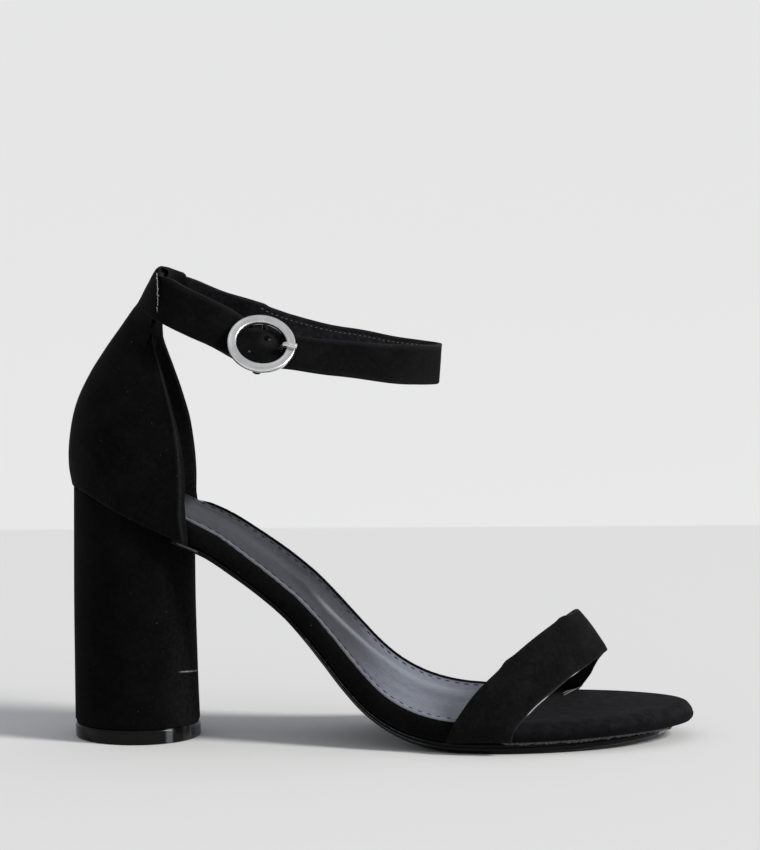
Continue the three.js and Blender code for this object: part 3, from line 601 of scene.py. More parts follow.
def edgeStations(start, end, count):
    runs = []
    for i in range(count + 1):
        share = i / count
        # stations stand closer together at both ends
        runs.append(start + (end - start) * (0.62 * share + 0.38 * (1 - cos(pi * share)) / 2))
    outer, inner = [], []
    for run in runs:
        along = alongAt(run)
        half = (s["ballWidth"] * soleAt["halfWidth"](along)
                * endRound(run, s["heelEndRound"]) * endRound(soleRun - run, s["toeEndRound"]))
        centre = s["ballWidth"] * soleAt["centre"](along)
        outer.append(Vector((run, centre - half)))
        inner.append(Vector((run, centre + half)))
    ring = outer + inner[::-1]
    inward = []
    for i, point in enumerate(ring):
        tangent = (ring[(i + 1) % len(ring)] - ring[i - 1]).normalized()
        station = i if i <= count else len(ring) - 1 - i
        if (station == 0 and start > 1) or (station == count and end < soleRun - 1):
            tangent = Vector((1 if i <= count else -1, 0))
        if station in (0, count) and (inner[station] - outer[station]).length < 0.01:
            # both sides meet in one point at a rounded end
            tangent = Vector((0, 1 if station else -1))
        inward.append(Vector((-tangent.y, tangent.x)))
    return [
        {"run": runs[i], "sides": ((ring[i], inward[i]), (ring[-1 - i], inward[-1 - i]))}
        for i in range(count + 1)
    ]


def edgePoint(station, side, inset, up):
    base, inward = station["sides"][side]
    plan = base + inward * (inset(alongAt(min(max(base.x, 0), soleRun))) if callable(inset) else inset)
    run = min(max(plan.x, 0), soleRun)
    height = up(alongAt(run)) if callable(up) else up
    return solePoint(run, plan.y, height) + Vector((plan.x - run, 0, 0)), run, plan.y


def soleShell(name, start, end, layers, across, stations, crown=None, marks=None):
    edges = edgeStations(start, end, stations)
    sections = []
    for station in edges:
        left = [edgePoint(station, 0, *layer) for layer in layers]
        right = [edgePoint(station, 1, *layer) for layer in layers]
        section = [point for point, _, _ in left]
        (topLeft, runLeft, sideLeft), (topRight, runRight, sideRight) = left[-1], right[-1]
        for j in range(1, across):
            share = j / across
            point = topLeft.lerp(topRight, share)
            if crown:
                run = runLeft + (runRight - runLeft) * share
                point = point + Vector((0, 0, crown(run, share, abs(sideRight - sideLeft))))
            section.append(point)
        section += [point for point, _, _ in right[::-1]]
        lowLeft, lowRight = left[0][0], right[0][0]
        section += [lowRight.lerp(lowLeft, j / across) for j in range(1, across)]
        sections.append(section + [section[0]])
    steps = len(sections[0]) - 1
    first = len(layers) - 1

    def marksAt(u, v):
        share = (u - first) / across
        return marks(edges[v]["run"], share) if share < 1 else (0, 0)
    piece = gridPiece(name, steps, stations, lambda u, v: sections[v][u], marksAt if marks else None)
    return closeSeams(piece)


board = {"stations": 170, "across": 20, "toeGrowth": 0.75, "dish": 1.1, "wave": 0.28}


def boardCrown(run, share, width):
    # the face is a little dished under the sock, and lies in low waves at the toe
    edge = min(share, 1 - share) * width
    toe = smooth(run, 175, 195)
    wave = waver(run * 0.045, share * 3.2, 1.7) * board["wave"] * toe
    return -board["dish"] * smooth(edge, 0, 9) * (1 - toe) + wave * smooth(edge, 0, 5)


def turnedEdge(share, down):
    # a point on the rounded top edge, rounder towards the toe
    def grown(along):
        return s["boardEdgeRound"] * (1 + board["toeGrowth"] * smooth(along, 0.60, 0.85))
    return lambda along: share * grown(along), lambda along: -down * grown(along)


def boardUp(amount):
    return lambda along: boardUnder(along) + amount


boardLayers = [
    (2.6, boardUnder),
    (0.9, boardUp(0.15)),
    (0.35, boardUp(0.6)),
    (0.08, boardUp(1.4)),
    (0.0, lambda along: boardUnder(along) * 0.62),
    turnedEdge(0.02, 1.02),
    turnedEdge(0.10, 0.66),
    turnedEdge(0.24, 0.40),
    turnedEdge(0.44, 0.20),
    turnedEdge(0.70, 0.07),
    turnedEdge(1.0, 0.0),
    turnedEdge(1.5, -0.01),
]
insoleBoard = soleShell("insoleBoard", 0.0, soleRun, boardLayers, board["across"], board["stations"],
                        boardCrown)
dressed(insoleBoard, 70, suedeBoard, "suede", "insole_board")
print("board done:", len(insoleBoard.data.polygons), "faces")

sock = {
    "stations": 150, "across": 48, "sink": 0.28, "roundLow": 0.15, "roundHigh": 0.45,
    "ridgeHeight": 0.5, "ridgeWidth": 4.0, "ridgeHighlight": 0.55, "edgePale": 0.42, "pad": 0.8,
    "dishNear": 0.25, "dishFar": 0.95, "groove": 0.15, "grooveNear": 0.9, "grooveFar": 3.1,
}


def ridgeShare(run):
    # the ridge crosses from the middle of the arch to the inner side of the ball
    return 0.44 + 0.34 * smooth(soleX(alongAt(run)), -21, 3)


def sockMarks(run, share):
    x = soleX(alongAt(run))
    # painted highlight along the soft ridge
    ridge = sock["ridgeHighlight"] * between(x, -26, -18, 22, 34) * bell(share, ridgeShare(run) - 0.01, 0.065)
    # the outer edge is painted pale
    return max(ridge, sock["edgePale"] * (1 - smooth(share, 0.0, 0.03))), 0


def sockCrown(run, share, width):
    # foam under the sock, with the soft ridge that runs down its inner half
    edge = min(share, 1 - share) * width
    pad = sock["pad"] * smooth(edge, 1.0, 8.0) * (1 - 0.6 * smooth(run, 40, 75))
    ridge = sock["ridgeHeight"] * bell(share * width, ridgeShare(run) * width, sock["ridgeWidth"])
    groove = -sock["groove"] * bell(edge, sock["grooveNear" if share < 0.5 else "grooveFar"], 0.5)
    # the far edge stands up more than the near one
    dish = sock["dishNear"] + (sock["dishFar"] - sock["dishNear"]) * smooth(share, 0.45, 0.85)
    return -dish * smooth(edge, 1, 10) + pad * 0.6 + ridge * smooth(run, 50, 90) + groove


sockUnder = s["clearance"] - sock["sink"]
sockLayers = [
    (s["sockInset"], sockUnder),
    (s["sockInset"], sockUnder + s["sockThickness"] * 0.55),
    (s["sockInset"] + sock["roundLow"], sockUnder + s["sockThickness"] * 0.85),
    (s["sockInset"] + sock["roundHigh"], sockUnder + s["sockThickness"]),
]
sockLining = soleShell("sockLining", 0.0, s["sockEnd"], sockLayers, sock["across"], sock["stations"],
                       sockCrown, sockMarks)
dressed(sockLining, 60, sockLeather, "sock", "sock_lining")

outsoleLook = {"stations": 150, "across": 6}


def outsoleIn(amount):
    return lambda along: s["toeTuck"] * soleAt["tuck"](along) + amount


def outsoleBand(share):
    # a height between the outsole's underside and its upper face
    return lambda along: outsoleUnder(along) + (outsoleUpper(along) - outsoleUnder(along)) * share


outsoleLayers = [
    (outsoleIn(3.0), outsoleUnder),
    (outsoleIn(1.0), lambda a: outsoleUnder(a) + 0.05),
    (outsoleIn(0.35), outsoleBand(0.14)),
    (outsoleIn(0.0), outsoleBand(0.36)),
    (outsoleIn(0.05), outsoleBand(0.56)),
    (outsoleIn(0.45), outsoleBand(0.62)),
    (outsoleIn(0.45), outsoleBand(0.68)),
    (outsoleIn(-0.1), outsoleBand(0.74)),
    (outsoleIn(-0.1), outsoleBand(0.9)),
    (outsoleIn(0.35), outsoleBand(1.04)),
    (outsoleIn(2.0), outsoleBand(1.0)),
]
outsole = soleShell("outsole", s["outsoleTail"], soleRun, outsoleLayers, outsoleLook["across"],
                    outsoleLook["stations"])
for vertex in outsole.data.vertices:
    vertex.co.z = max(vertex.co.z, 0.0)
dressed(outsole, 50, glossSole, "outsole", "outsole")
print("sole done")


# Heel
def heelRing(level, angle, z, inset=0.0):
    back = heelMiddle + heelAt["back"](level) * s["heelDepth"] + inset
    front = heelMiddle + heelAt["front"](level) * s["heelDepth"] - inset
    half = heelAt["halfWidth"](level) * s["heelWidth"] - inset
    return Vector(((back + front) / 2 + cos(angle) * (front - back) / 2, sin(angle) * half, z))


heelLook = {"around": 128, "levels": 70, "gap": 0.12, "turn": 0.5, "turnHeight": 0.9, "uneven": 0.12}


def seatHeight(x, y):
    seat = underAt(x, y, outsoleUpper)
    tailStart = solePoint(s["outsoleTail"], 0, 0).x
    if x > tailStart - 2.5:
        tail = underAt(x, y, lambda a: outsoleUnder(a) - s["clearance"] * 0.5)
        seat += (tail - seat) * smooth(x, tailStart - 2.5, tailStart - 1.5)
    return seat


def heelPoint(u, v):
    angle = turnAt(u, heelLook["around"])
    share = v / heelLook["levels"]
    bottom = s["topPieceHeight"] + heelLook["gap"]
    outer = heelRing(1.0, angle, 0)
    top = seatHeight(outer.x, outer.y)
    z = bottom + (top - bottom) * share
    rounding = heelLook["turn"] * (1 - smooth(z, bottom, bottom + heelLook["turnHeight"])) ** 2
    uneven = heelLook["uneven"] * waver(cos(angle) * 1.4, sin(angle) * 1.4, z * 0.03)
    return heelRing(min(z / heelBackTop, 1.29), angle, z, rounding - uneven)


heelBlock = closeSeams(gridPiece("heelBlock", heelLook["around"], heelLook["levels"], heelPoint))


# in metres, in the part's own place
scuff = {
    "z": 0.0220, "thick": 0.00036, "from": -0.0668, "to": -0.0620, "tone": (0.34, 0.34, 0.35),
    "litFrom": -0.0680, "litTone": (0.0085, 0.0085, 0.0095),
}


def scuffedAndLit(coords, colour):
    # the short pale scuff low on the outer side, in front; it lies level as seen from the outer side
    fore, across, high = coords.split()
    ragged = coords.cloud(700, 3.0, 0.7)
    height = high + across * 0.128 + ragged * 0.0005 - 0.00025
    line = (1 - coords.maths("ABSOLUTE", height - scuff["z"]) * (1 / scuff["thick"])).clamped()
    span = fore.above(scuff["from"], 0.0014) * (1 - fore.above(scuff["to"], 0.0004))
    mark = line * span * (1 - across.above(-0.002, 0.002)) * ragged.above(0.40, 0.14)
    # painted light: the front of the heel is painted a little paler, against the shade that falls there
    frontLit = fore.above(scuff["litFrom"], 0.007)
    colour = (frontLit * ragged.above(0.45, 0.2)).mixed(colour, scuff["litTone"])
    return mark.clamped().mixed(colour, scuff["tone"])


# a shaded copy of the suede, painted darker
suedeHeel = suedeFinish("suedeHeel", lift=0.7, lint=0.25, extra=scuffedAndLit)
dressed(heelBlock, 45, suedeHeel, "suede", "heel_block")


# inset and height of the tread's side, from its underside to its top
treadProfile = ((4.0, 0.0), (0.9, 0.0), (0.35, 0.1), (0.08, 0.38), (0.0, 0.8), (0.0, 2.4), (0.0, 4.2),
                (0.1, 4.75), (0.4, 4.97), (1.2, 5.0))


def topPiecePoint(u, v):
    inset, z = treadProfile[v]
    return heelRing(z / heelBackTop, turnAt(u, heelLook["around"]), z, inset)


topPiece = closeSeams(gridPiece("topPiece", heelLook["around"], len(treadProfile) - 1, topPiecePoint))
dressed(topPiece, 50, glossTread, "top_piece", "top_piece")
print("heel done")


# Counter
counterBackX = s["soleBack"] - s["clearance"] - s["counterWall"]
lastLevel = len(counterRows) - 1


def counterPoint(level, across):
    at = {name: curve(level) for name, curve in counterAt.items()}
    backX = counterBackX + at["backX"] * s["counterDepth"]
    frontX = counterBackX + (at["frontX"] + max(-across, 0) * at["outer"]) * s["counterDepth"]
    backZ = heelBackTop + at["backUp"] * s["counterHeight"]
    frontZ = heelBackTop + at["frontUp"] * s["counterHeight"]
    half = at["halfWidth"] * s["counterHalfWidth"]
    rounded = at["round"] * s["counterHalfWidth"]
    depth = frontX - backX
    turn = acos(1 - min(depth / rounded, 1))
    arc = rounded * turn
    run = abs(across) * (arc + max(depth - rounded, 0))
    angle = min(run / rounded, turn)
    x = rounded * (1 - cos(angle)) if run <= arc else rounded + run - arc
    side = copysign(1, across) if across else 0
    return Vector((backX + x, side * half * sin(angle), backZ + (frontZ - backZ) * x / depth))


def counterNormal(level, across):
    step = 0.03
    up = counterPoint(min(level + step, lastLevel), across) - counterPoint(max(level - step, 0), across)
    side = counterPoint(level, min(across + step, 1)) - counterPoint(level, max(across - step, -1))
    return up.cross(side).normalized()


counterLook = {
    "across": 160, "levels": 72, "fold": 0.10, "foldWidth": 0.045, "groove": 0.08,
    "wrinkles": ((0.035, 0.16), (0.16, 0.05)), "foot": 0.5, "seatGap": 0.12, "edgeHighlight": 0.6, "inside": 0.12,
}


def counterStart(across):
    # the level at which the counter's lower edge meets the seat
    low, high = 0.0, 4.0
    for _ in range(24):
        middle = (low + high) / 2
        point = counterPoint(middle, across)
        if point.z < underAt(point.x, point.y, outsoleUpper) + counterLook["seatGap"]:
            low = middle
        else:
            high = middle
    return high


def counterAcross(index):
    # from -1 at the outer front edge to 1 at the inner one, and how many fold widths that is from an edge
    across = -1 + 2 * index / counterLook["across"]
    return across, (1 - abs(across)) / counterLook["foldWidth"]


def counterSection(index):
    across, toEdge = counterAcross(index)
    start = counterStart(across)
    half = s["counterWall"] / 2
    # both faces close in on the middle of the wall at the front edges
    thin = sqrt(max(1 - (1 - min(toEdge * 1.6, 1)) ** 2, 0.02))
    folded = counterLook["fold"] * bell(toEdge, 0.75, 0.45) - counterLook["groove"] * bell(toEdge, 1.5, 0.22)
    outer, inner = [], []
    for j in range(counterLook["levels"] + 1):
        share = j / counterLook["levels"]
        level = start + (lastLevel - start) * share
        point = counterPoint(level, across)
        normal = counterNormal(level, across)
        middle = point - normal * half
        low = sqrt(max(1 - (1 - min(share * 60, 1)) ** 2, 0.05)) if share < 0.02 else 1
        ease = drift(point, counterLook["wrinkles"])
        foot = counterLook["foot"] * (1 - smooth(share, 0.05, 0.12))
        outer.append(middle + normal * (half * thin * low + (folded + ease) * low))
        inner.append(middle - normal * (half * thin * low + foot))
    section = outer + inner[::-1]
    return section + [section[0]]


counterSections = [counterSection(i) for i in range(counterLook["across"] + 1)]
levels = counterLook["levels"] + 1


def counterMarks(u, v):
    outside = 1 if u < levels or u == 2 * levels else 0
    # painted highlight along the folded front edges, on the outer face
    worn = counterLook["edgeHighlight"] * bell(counterAcross(v)[1], 0.55, 0.22)
    return worn * outside, counterLook["inside"] * (1 - outside)


counter = gridPiece("counter", len(counterSections[0]) - 1, counterLook["across"],
                    lambda u, v: counterSections[v][u], counterMarks)
closeSeams(counter)
dressed(counter, 60, suedeUpper, "suede", "counter")


# Ankle strap
def strapMiddle(row):
    return Vector((
        s["soleBack"] + s["strapBack"] + strapAt["x"](row) * s["strapLoopLength"],
        strapAt["y"](row) * s["strapLoopWidth"],
        s["ankleHeight"] - strapAt["fall"](row) * s["strapFall"],
    ))


lastStrap = len(strapRows) - 1


def strapStation(row):
    low, high = max(row - 0.05, 0), min(row + 0.05, lastStrap)
    forward = (strapMiddle(high) - strapMiddle(low)).normalized()
    upright = (Vector((0, 0, 1)) - forward * forward.z).normalized()
    up = Matrix.Rotation(radians(strapAt["lean"](row)), 3, forward) @ upright
    return {"row": row, "middle": strapMiddle(row), "up": up, "out": up.cross(forward), "forward": forward}


def acrossBand(station, a, b):
    # a is a share of the half width, upwards, and b is millimetres outwards
    return station["middle"] + station["up"] * a * station["width"] / 2 + station["out"] * b


def roundedBand(name, stations, profile, move, marks=None):
    # profile is a closed run of such (a, b) pairs
    sections = []
    for station in stations:
        section = []
        for a, b in profile:
            section.append(move(acrossBand(station, a, b), station, a, b))
        sections.append(section + [section[0]])
    marksAt = (lambda u, v: marks(stations[v], *profile[u % len(profile)])) if marks else None
    piece = gridPiece(name, len(profile), len(stations) - 1, lambda u, v: sections[v][u], marksAt)
    return closeSeams(piece)


def bandProfile(thickness, width, rounding, steps=4, across=8, crown=0.0):
    # a rounded oblong, counter-clockwise
    half, deep = width / 2, thickness / 2
    corners = ((half - rounding, -deep + rounding, -90), (half - rounding, deep - rounding, 0),
               (-half + rounding, deep - rounding, 90), (-half + rounding, -deep + rounding, 180))
    profile = []
    for index, (cx, cy, start) in enumerate(corners):
        for k in range(steps + 1):
            angle = radians(start + 90 * k / steps)
            profile.append((cx + rounding * cos(angle), cy + rounding * sin(angle)))
        if index in (1, 3):
            sign = 1 if index == 1 else -1
            for k in range(1, across):
                x = (half - rounding) * (1 - 2 * k / across) * sign
                profile.append((x, sign * (deep + (crown * (1 - (x / half) ** 2) if sign > 0 else 0))))
    return [(a / half, b) for a, b in profile]


strapLook = {
    "stations": 420, "edge": 0.42, "slack": ((0.06, 0.22), (0.21, 0.07)), "step": 0.55, "raise": 1.25,
    "buckleRow": 26, "holeSwell": 2.2, "tipLength": 2.2, "tipNarrow": 0.35,
    "lowEdgePale": 0.25, "frontFoldPale": 0.20,
}
buckle = strapStation(strapLook["buckleRow"])


def strapMove(point, station, a, b):
    # slack of the worn strap, a step where it leaves the sleeve, and the near half's raised top edge
    row = station["row"]
    ease = drift(point, strapLook["slack"])
    stepped = strapLook["step"] * between(row, 9.0, 9.3, 12.2, 12.4) * smooth(a, 0.2, 1)
    raised = strapLook["raise"] * between(row, 0.6, 1.4, 4.6, 5.8) * smooth(a, -0.2, 1)
    return point + station["out"] * ease * smooth(row, 0, 3) + station["up"] * (stepped + raised)


def strapMarks(station, a, b):
    # painted highlight where the top edge catches the light on the near half, with the lower edge and the
    # front fold painted paler; the lining shows on the far half's inner face, painted paler where it is lit
    row = station["row"]
    fleck = 0.5 + 0.5 * waver(row * 6, a, 3.1)
    top = smooth(a, 0.90, 0.99) * (0.55 + 0.45 * fleck)
    low = smooth(-a, 0.92, 1.0) * strapLook["lowEdgePale"]
    near = 1 if row < 6 or row > 19 else 0.75 * fleck
    front = strapLook["frontFoldPale"] * bell(row, 20.2, 1.3) * smooth(b, 0.4, 0.9)
    inside = smooth(-b, 0.55, 0.9) * smooth(1 - abs(a), 0.02, 0.07)
    lit = smooth(row, 9.4, 9.9) * (0.3 + 0.7 * smooth(row, 11.6, 12.8))
    return (top + low) * near + front, inside * lit


strapStations = []
for i in range(strapLook["stations"] + 1):
    station = strapStation(lastStrap * i / strapLook["stations"])
    toTip = (lastStrap - station["row"]) * 8.6
    narrowed = strapLook["tipNarrow"] * (1 - smooth(toTip, 0, strapLook["tipLength"])) ** 2
    station["width"] = s["strapWidth"] * (1 - narrowed)
    toHole = (station["row"] - strapLook["buckleRow"]) / 0.42
    station["width"] += strapLook["holeSwell"] * exp(-toHole ** 4)
    strapStations.append(station)
ankleStrap = roundedBand("ankleStrap", strapStations,
                         bandProfile(s["strapThickness"], s["strapWidth"], strapLook["edge"]),
                         strapMove, strapMarks)


# Buckle: its own frame has x to the toe along the strap, y out of the loop and z up across the strap
def atBuckle(x, y, z):
    return buckle["middle"] - buckle["forward"] * x + buckle["out"] * y + buckle["up"] * z


def buckleSpot(x, z):
    return inMetres(atBuckle(x, s["strapThickness"] / 2, z))


# the painted shade of the punched hole and its painted glint: places on the strap in millimetres from the
# buckle's middle, radius and softness in metres, and colour
holeShadeAndGlintSpots = (
    ((1.7, 4.3), 0.0011, 0.0003, (0.0004, 0.0004, 0.0004)),
    ((2.5, 3.9), 0.0004, 0.0002, (0.060, 0.064, 0.068)),
)


def holeShadeAndGlint(coords, colour):
    # painted shade of the punched hole with a painted glint inside the ring and a painted sheen round it,
    # and the small dot beside it
    grain = coords.cloud(1500, 2.0, 0.6)
    moved = coords.node("VectorMath", {"operation": "MULTIPLY_ADD"},
                        {0: grain, 1: (0.0004, 0.0004, 0.0004), 2: coords})
    # painted sheen round the hole, mottled
    glintMottle = moved.near(buckleSpot(2.4, 3.6), 0.0028, 0.0016) * grain
    colour = glintMottle.mixed(colour, (0.02, 0.021, 0.02))
    for place, radius, soft, shade in holeShadeAndGlintSpots:
        colour = moved.near(buckleSpot(*place), radius, soft).mixed(colour, shade)
    return coords.near(buckleSpot(-3.5, -2.5), 0.0004, 0.00015).mixed(colour, (0.06, 0.06, 0.06))


suedeStrap = suedeFinish("suedeStrap", lift=1.0, lint=0.25, extra=holeShadeAndGlint)
dressed(ankleStrap, 50, suedeStrap, "suede", "ankle_strap")

buckleLook = {
    "diameter": 23, "band": 3.1, "thickness": 2.0, "lift": 2.8, "around": 96,
    "barDiameter": 1.6, "barDepth": 3.7, "prongDiameter": 1.7, "prongReach": 11.8, "prongHole": 6.4,
    "foldRadius": 2.3, "foldHalf": 6.9, "foldAround": 28, "foldSteps": 20,
}
b = buckleLook


# flat band with a soft rim on both sides, as shares of its width and thickness
ringProfile = (
    (-0.5, -0.30), (-0.5, 0.18), (-0.45, 0.42), (-0.36, 0.5), (-0.24, 0.46), (-0.14, 0.43), (0.14, 0.43),
    (0.24, 0.46), (0.36, 0.5), (0.45, 0.42), (0.5, 0.18), (0.5, -0.30), (0.40, -0.5), (0.0, -0.5),
    (-0.40, -0.5),
)


def ringPoint(u, v):
    across, high = ringProfile[u % len(ringProfile)]
    angle = turnAt(v, b["around"])
    radius = b["diameter"] / 2 - b["band"] / 2 + across * b["band"]
    return atBuckle(cos(angle) * radius, b["lift"] + high * b["thickness"], sin(angle) * radius)


ring = closeSeams(gridPiece("buckleRing", len(ringProfile), b["around"], ringPoint), capped=False)
onlyThis(ring)
soft = ring.modifiers.new("soft", "SUBSURF")
soft.levels = soft.render_levels = 1
bpy.ops.object.modifier_apply(modifier="soft")
dressed(ring, 50, buckleMetal, "buckle", "buckle_frame")


def tubePiece(name, path, sides, halvesAt, placed=None):
    # halvesAt(v) gives the tube's two half widths there, as directions
    def place(u, v):
        angle = turnAt(u, sides)
        aside, rise = halvesAt(v)
        point = path[v] + aside * cos(angle) + rise * sin(angle)
        return placed(*point) if placed else point
    return closeSeams(gridPiece(name, sides, len(path) - 1, place))


def rodPiece(name, points, radius, steps, sides, flatten=None):
    # a round bar through points, by Catmull-Rom
    points = [Vector(point) for point in points]
    path = []
    for i in range(steps + 1):
        place = i / steps * (len(points) - 1)
        k = min(int(place), len(points) - 2)
        t = place - k
        p0, p1, p2, p3 = (points[min(max(k + j, 0), len(points) - 1)] for j in (-1, 0, 1, 2))
        path.append(0.5 * (2 * p1 + (p2 - p0) * t + (2 * p0 - 5 * p1 + 4 * p2 - p3) * t ** 2
                           + (3 * p1 - p0 - 3 * p2 + p3) * t ** 3))

    def halvesAt(v):
        ahead = (path[min(v + 1, steps)] - path[max(v - 1, 0)]).normalized()
        side = Vector((0, 0, 1)) if abs(ahead.z) < 0.8 else Vector((1, 0, 0))
        rise = side.cross(ahead).normalized()
        wide, high = flatten(v / steps) if flatten else (1, 1)
        thick = radius * (1 if 0 < v < steps else 0.72)
        return ahead.cross(rise) * thick * wide, rise * thick * high
    return tubePiece(name, path, sides, halvesAt, atBuckle)


reach = b["diameter"] / 2 - b["band"] / 2
inside = s["strapWidth"] / 2 + b["barDiameter"] / 2 + 0.5
barTop = [(0, b["lift"], reach), (0, 0, inside + b["barDiameter"] * 0.3), (0, -b["barDepth"] * 0.8, inside),
          (0, -b["barDepth"], inside - b["barDiameter"] * 0.8)]
barPoints = barTop + [(0, -b["barDepth"], 0)] + [(x, y, -0.84 * z) for x, y, z in barTop[::-1]]
bar = rodPiece("buckleBar", barPoints, b["barDiameter"] / 2, 64, 14)
dressed(bar, 60, shadedBarMetal, "buckle", "buckle_frame")

prongTop = b["lift"] + b["thickness"] / 2 + s["clearance"] + b["prongDiameter"] / 2
prongPoints = [
    (b["barDiameter"] / 2 + s["clearance"] + 0.5, -b["barDepth"], 0),
    (b["prongHole"] * 0.66, -b["barDepth"] + 0.9, 0), (b["prongHole"], 0, 0),
    (b["prongHole"] + 1.3, prongTop - 0.3, 0), (b["prongReach"] - 1.6, prongTop + 0.1, 0),
    (b["prongReach"], prongTop - 0.1, 0),
]
prong = rodPiece("buckleProng", prongPoints, b["prongDiameter"] / 2, 60, 14,
                 lambda t: (1 + 0.12 * smooth(t, 0.6, 0.9), 1 - 0.25 * smooth(t, 0.6, 0.9)))
dressed(prong, 45, buckleMetal, "buckle", "buckle_prong")


def foldPoint(u, v):
    # strap end turned round the bar, pinched a little at its two ends
    angle = turnAt(u, b["foldAround"])
    share = v / b["foldSteps"] * 2 - 1
    swell = 1 - 0.35 * abs(share) ** 6
    radius = b["foldRadius"] * swell + 0.12 * waver(cos(angle), sin(angle), share * 3)
    return atBuckle(cos(angle) * radius, sin(angle) * radius - b["barDepth"], share * b["foldHalf"])


barFold = closeSeams(gridPiece("barFold", b["foldAround"], b["foldSteps"], foldPoint))
dressed(barFold, 60, suedeUpper, "suede", "ankle_strap")
print("straps and buckle done")

# Sleeve at the top of the counter
sleeveLook = {
    "from": 4.6, "to": 9.3, "edge": 3.2, "wall": 1.0, "margin": 0.5, "stations": 60, "round": 1.3,
    "crumples": ((0.22, 0.32), (0.6, 0.12)), "buried": 0.35,
}
sleeveStations = []
for i in range(sleeveLook["stations"] + 1):
    row = sleeveLook["from"] + (sleeveLook["to"] - sleeveLook["from"]) * i / sleeveLook["stations"]
    station = strapStation(row)
    station["width"] = s["strapWidth"] + 2 * (sleeveLook["margin"] + sleeveLook["wall"])
    sleeveStations.append(station)
counterTree = BVHTree.FromObject(counter, bpy.context.evaluated_depsgraph_get())


def sleeveMove(point, station, a, b):
    row = station["row"]
    if b > 0 and a < 0.1:
        # the outer face runs down into the counter's, so the sleeve and the counter look like one cloth
        low = acrossBand(station, 0.1 + (a - 0.1) * 1.9, 0)
        found, normal, _, _ = counterTree.find_nearest(inMetres(low + station["out"] * 2))
        buried = found * 1000 - normal * sleeveLook["buried"] - shoeShift
        point = (low + station["out"] * b).lerp(buried, smooth(-a, -0.1, 1.0))
    crumple = drift(point, sleeveLook["crumples"])
    point = point + station["out"] * crumple * smooth(a, 0.0, 0.9) * smooth(row, 5.4, 6.6)
    # the sleeve's outer end is cut upright
    limit = s["soleBack"] + s["strapBack"] + sleeveLook["edge"]
    if point.y < 0 and point.x > limit:
        point = point + station["forward"] * (point.x - limit) / max(-station["forward"].x, 0.2)
    return point


sleeveThickness = s["strapThickness"] + 2 * (s["clearance"] + sleeveLook["wall"])
sleeveProfile = bandProfile(sleeveThickness, s["strapWidth"] + 3, sleeveLook["round"])
sleeve = roundedBand("sleeve", sleeveStations, sleeveProfile, sleeveMove)
dressed(sleeve, 50, suedeUpper, "suede")


# Vamp strap
lastVamp = len(vampRows) - 1


def vampEdge(row, edge):
    return Vector((
        s["vampBaseX"] + vampAt[edge + "X"](row) * s["vampReach"],
        vampAt[edge + "Y"](row) * s["ballWidth"],
        vampAt[edge + "Z"](row) * s["vampCrest"],
    ))


def vampMiddle(row):
    return (vampEdge(row, "back") + vampEdge(row, "front")) / 2


def vampStation(row):
    up = vampEdge(row, "back") - vampEdge(row, "front")
    width = up.length
    up = up.normalized()
    forward = (vampMiddle(min(row + 0.1, lastVamp)) - vampMiddle(max(row - 0.1, 0))).normalized()
    out = forward.cross(up).normalized()
    return {"row": row, "middle": vampMiddle(row), "up": up, "out": out, "forward": forward, "width": width}


vampLook = {
    "stations": 220, "edge": 0.6, "crown": 0.5, "slack": ((0.05, 0.35), (0.17, 0.1)), "profileWidth": 21.0,
    "kinks": ((3.45, 0.55), (5.2, 0.5)), "kinkWidth": 0.16, "ripple": 0.18,
    "crestSheen": 0.08, "edgeHighlight": 0.32,
}


def vampMove(point, station, a, b):
    ease = drift(point, vampLook["slack"])
    row = station["row"]
    # two small kinks in the back edge
    kink = sum(size * bell(row, at, vampLook["kinkWidth"]) for at, size in vampLook["kinks"])
    ripple = vampLook["ripple"] * waver(row * 1.7, 0.4, 2.2)
    return point + station["out"] * ease + station["up"] * (kink + ripple) * smooth(a, 0.2, 1.0)


def vampMarks(station, a, b):
    row = station["row"]
    # painted sheen on the crest, and painted highlights along both edges and on a stretch of the lower edge
    crest = vampLook["crestSheen"] * between(row, 3.5, 6, 7, 8)
    edge = vampLook["edgeHighlight"] * smooth(abs(a), 0.93, 1.0) * (0.4 + 0.6 * smooth(row, 1.4, 2.4))
    bright = between(row, 9.9, 10.4, 11.8, 12.2) * smooth(-a, 0.95, 0.99)
    return min(crest + edge + 2 * bright, 1), 0.35 * smooth(-b, 0.8, 1.0)


vampStations = [vampStation(lastVamp * i / vampLook["stations"]) for i in range(vampLook["stations"] + 1)]
vampProfile = bandProfile(s["vampThickness"], vampLook["profileWidth"], vampLook["edge"], across=12,
                          crown=vampLook["crown"])
vampStrap = roundedBand("vampStrap", vampStations, vampProfile, vampMove, vampMarks)
dressed(vampStrap, 50, suedeVamp, "suede", "vamp_strap")

# bright is where its cut edge catches the light, from row to row
liningLook = {
    "thickness": 0.5, "round": 0.2, "proud": 0.26, "gap": 0.1, "bright": ((1.6, 2.95), (3.95, 4.45)),
}


def liningMove(point, station, a, b):
    ease = drift(point, vampLook["slack"][:1])
    out = -(s["vampThickness"] + liningLook["thickness"]) / 2 - liningLook["gap"] + ease
    uneven = 0.75 + 0.5 * waver(station["row"], 5, 1)
    proud = liningLook["proud"] * smooth(-a, 0.8, 1.0) * uneven
    return point + station["out"] * out - station["up"] * proud


def liningMarks(station, a, b):
    row = station["row"]
    shine = max(between(row, low, low + 0.25, high - 0.25, high) for low, high in liningLook["bright"])
    return shine * smooth(-a, 0.93, 0.98), 0.4


liningProfile = bandProfile(liningLook["thickness"], vampLook["profileWidth"], liningLook["round"],
                            across=12)
vampLining = roundedBand("vampLining", vampStations[4:-4], liningProfile, liningMove, liningMarks)
dressed(vampLining, 50, liningSatin, "suede")


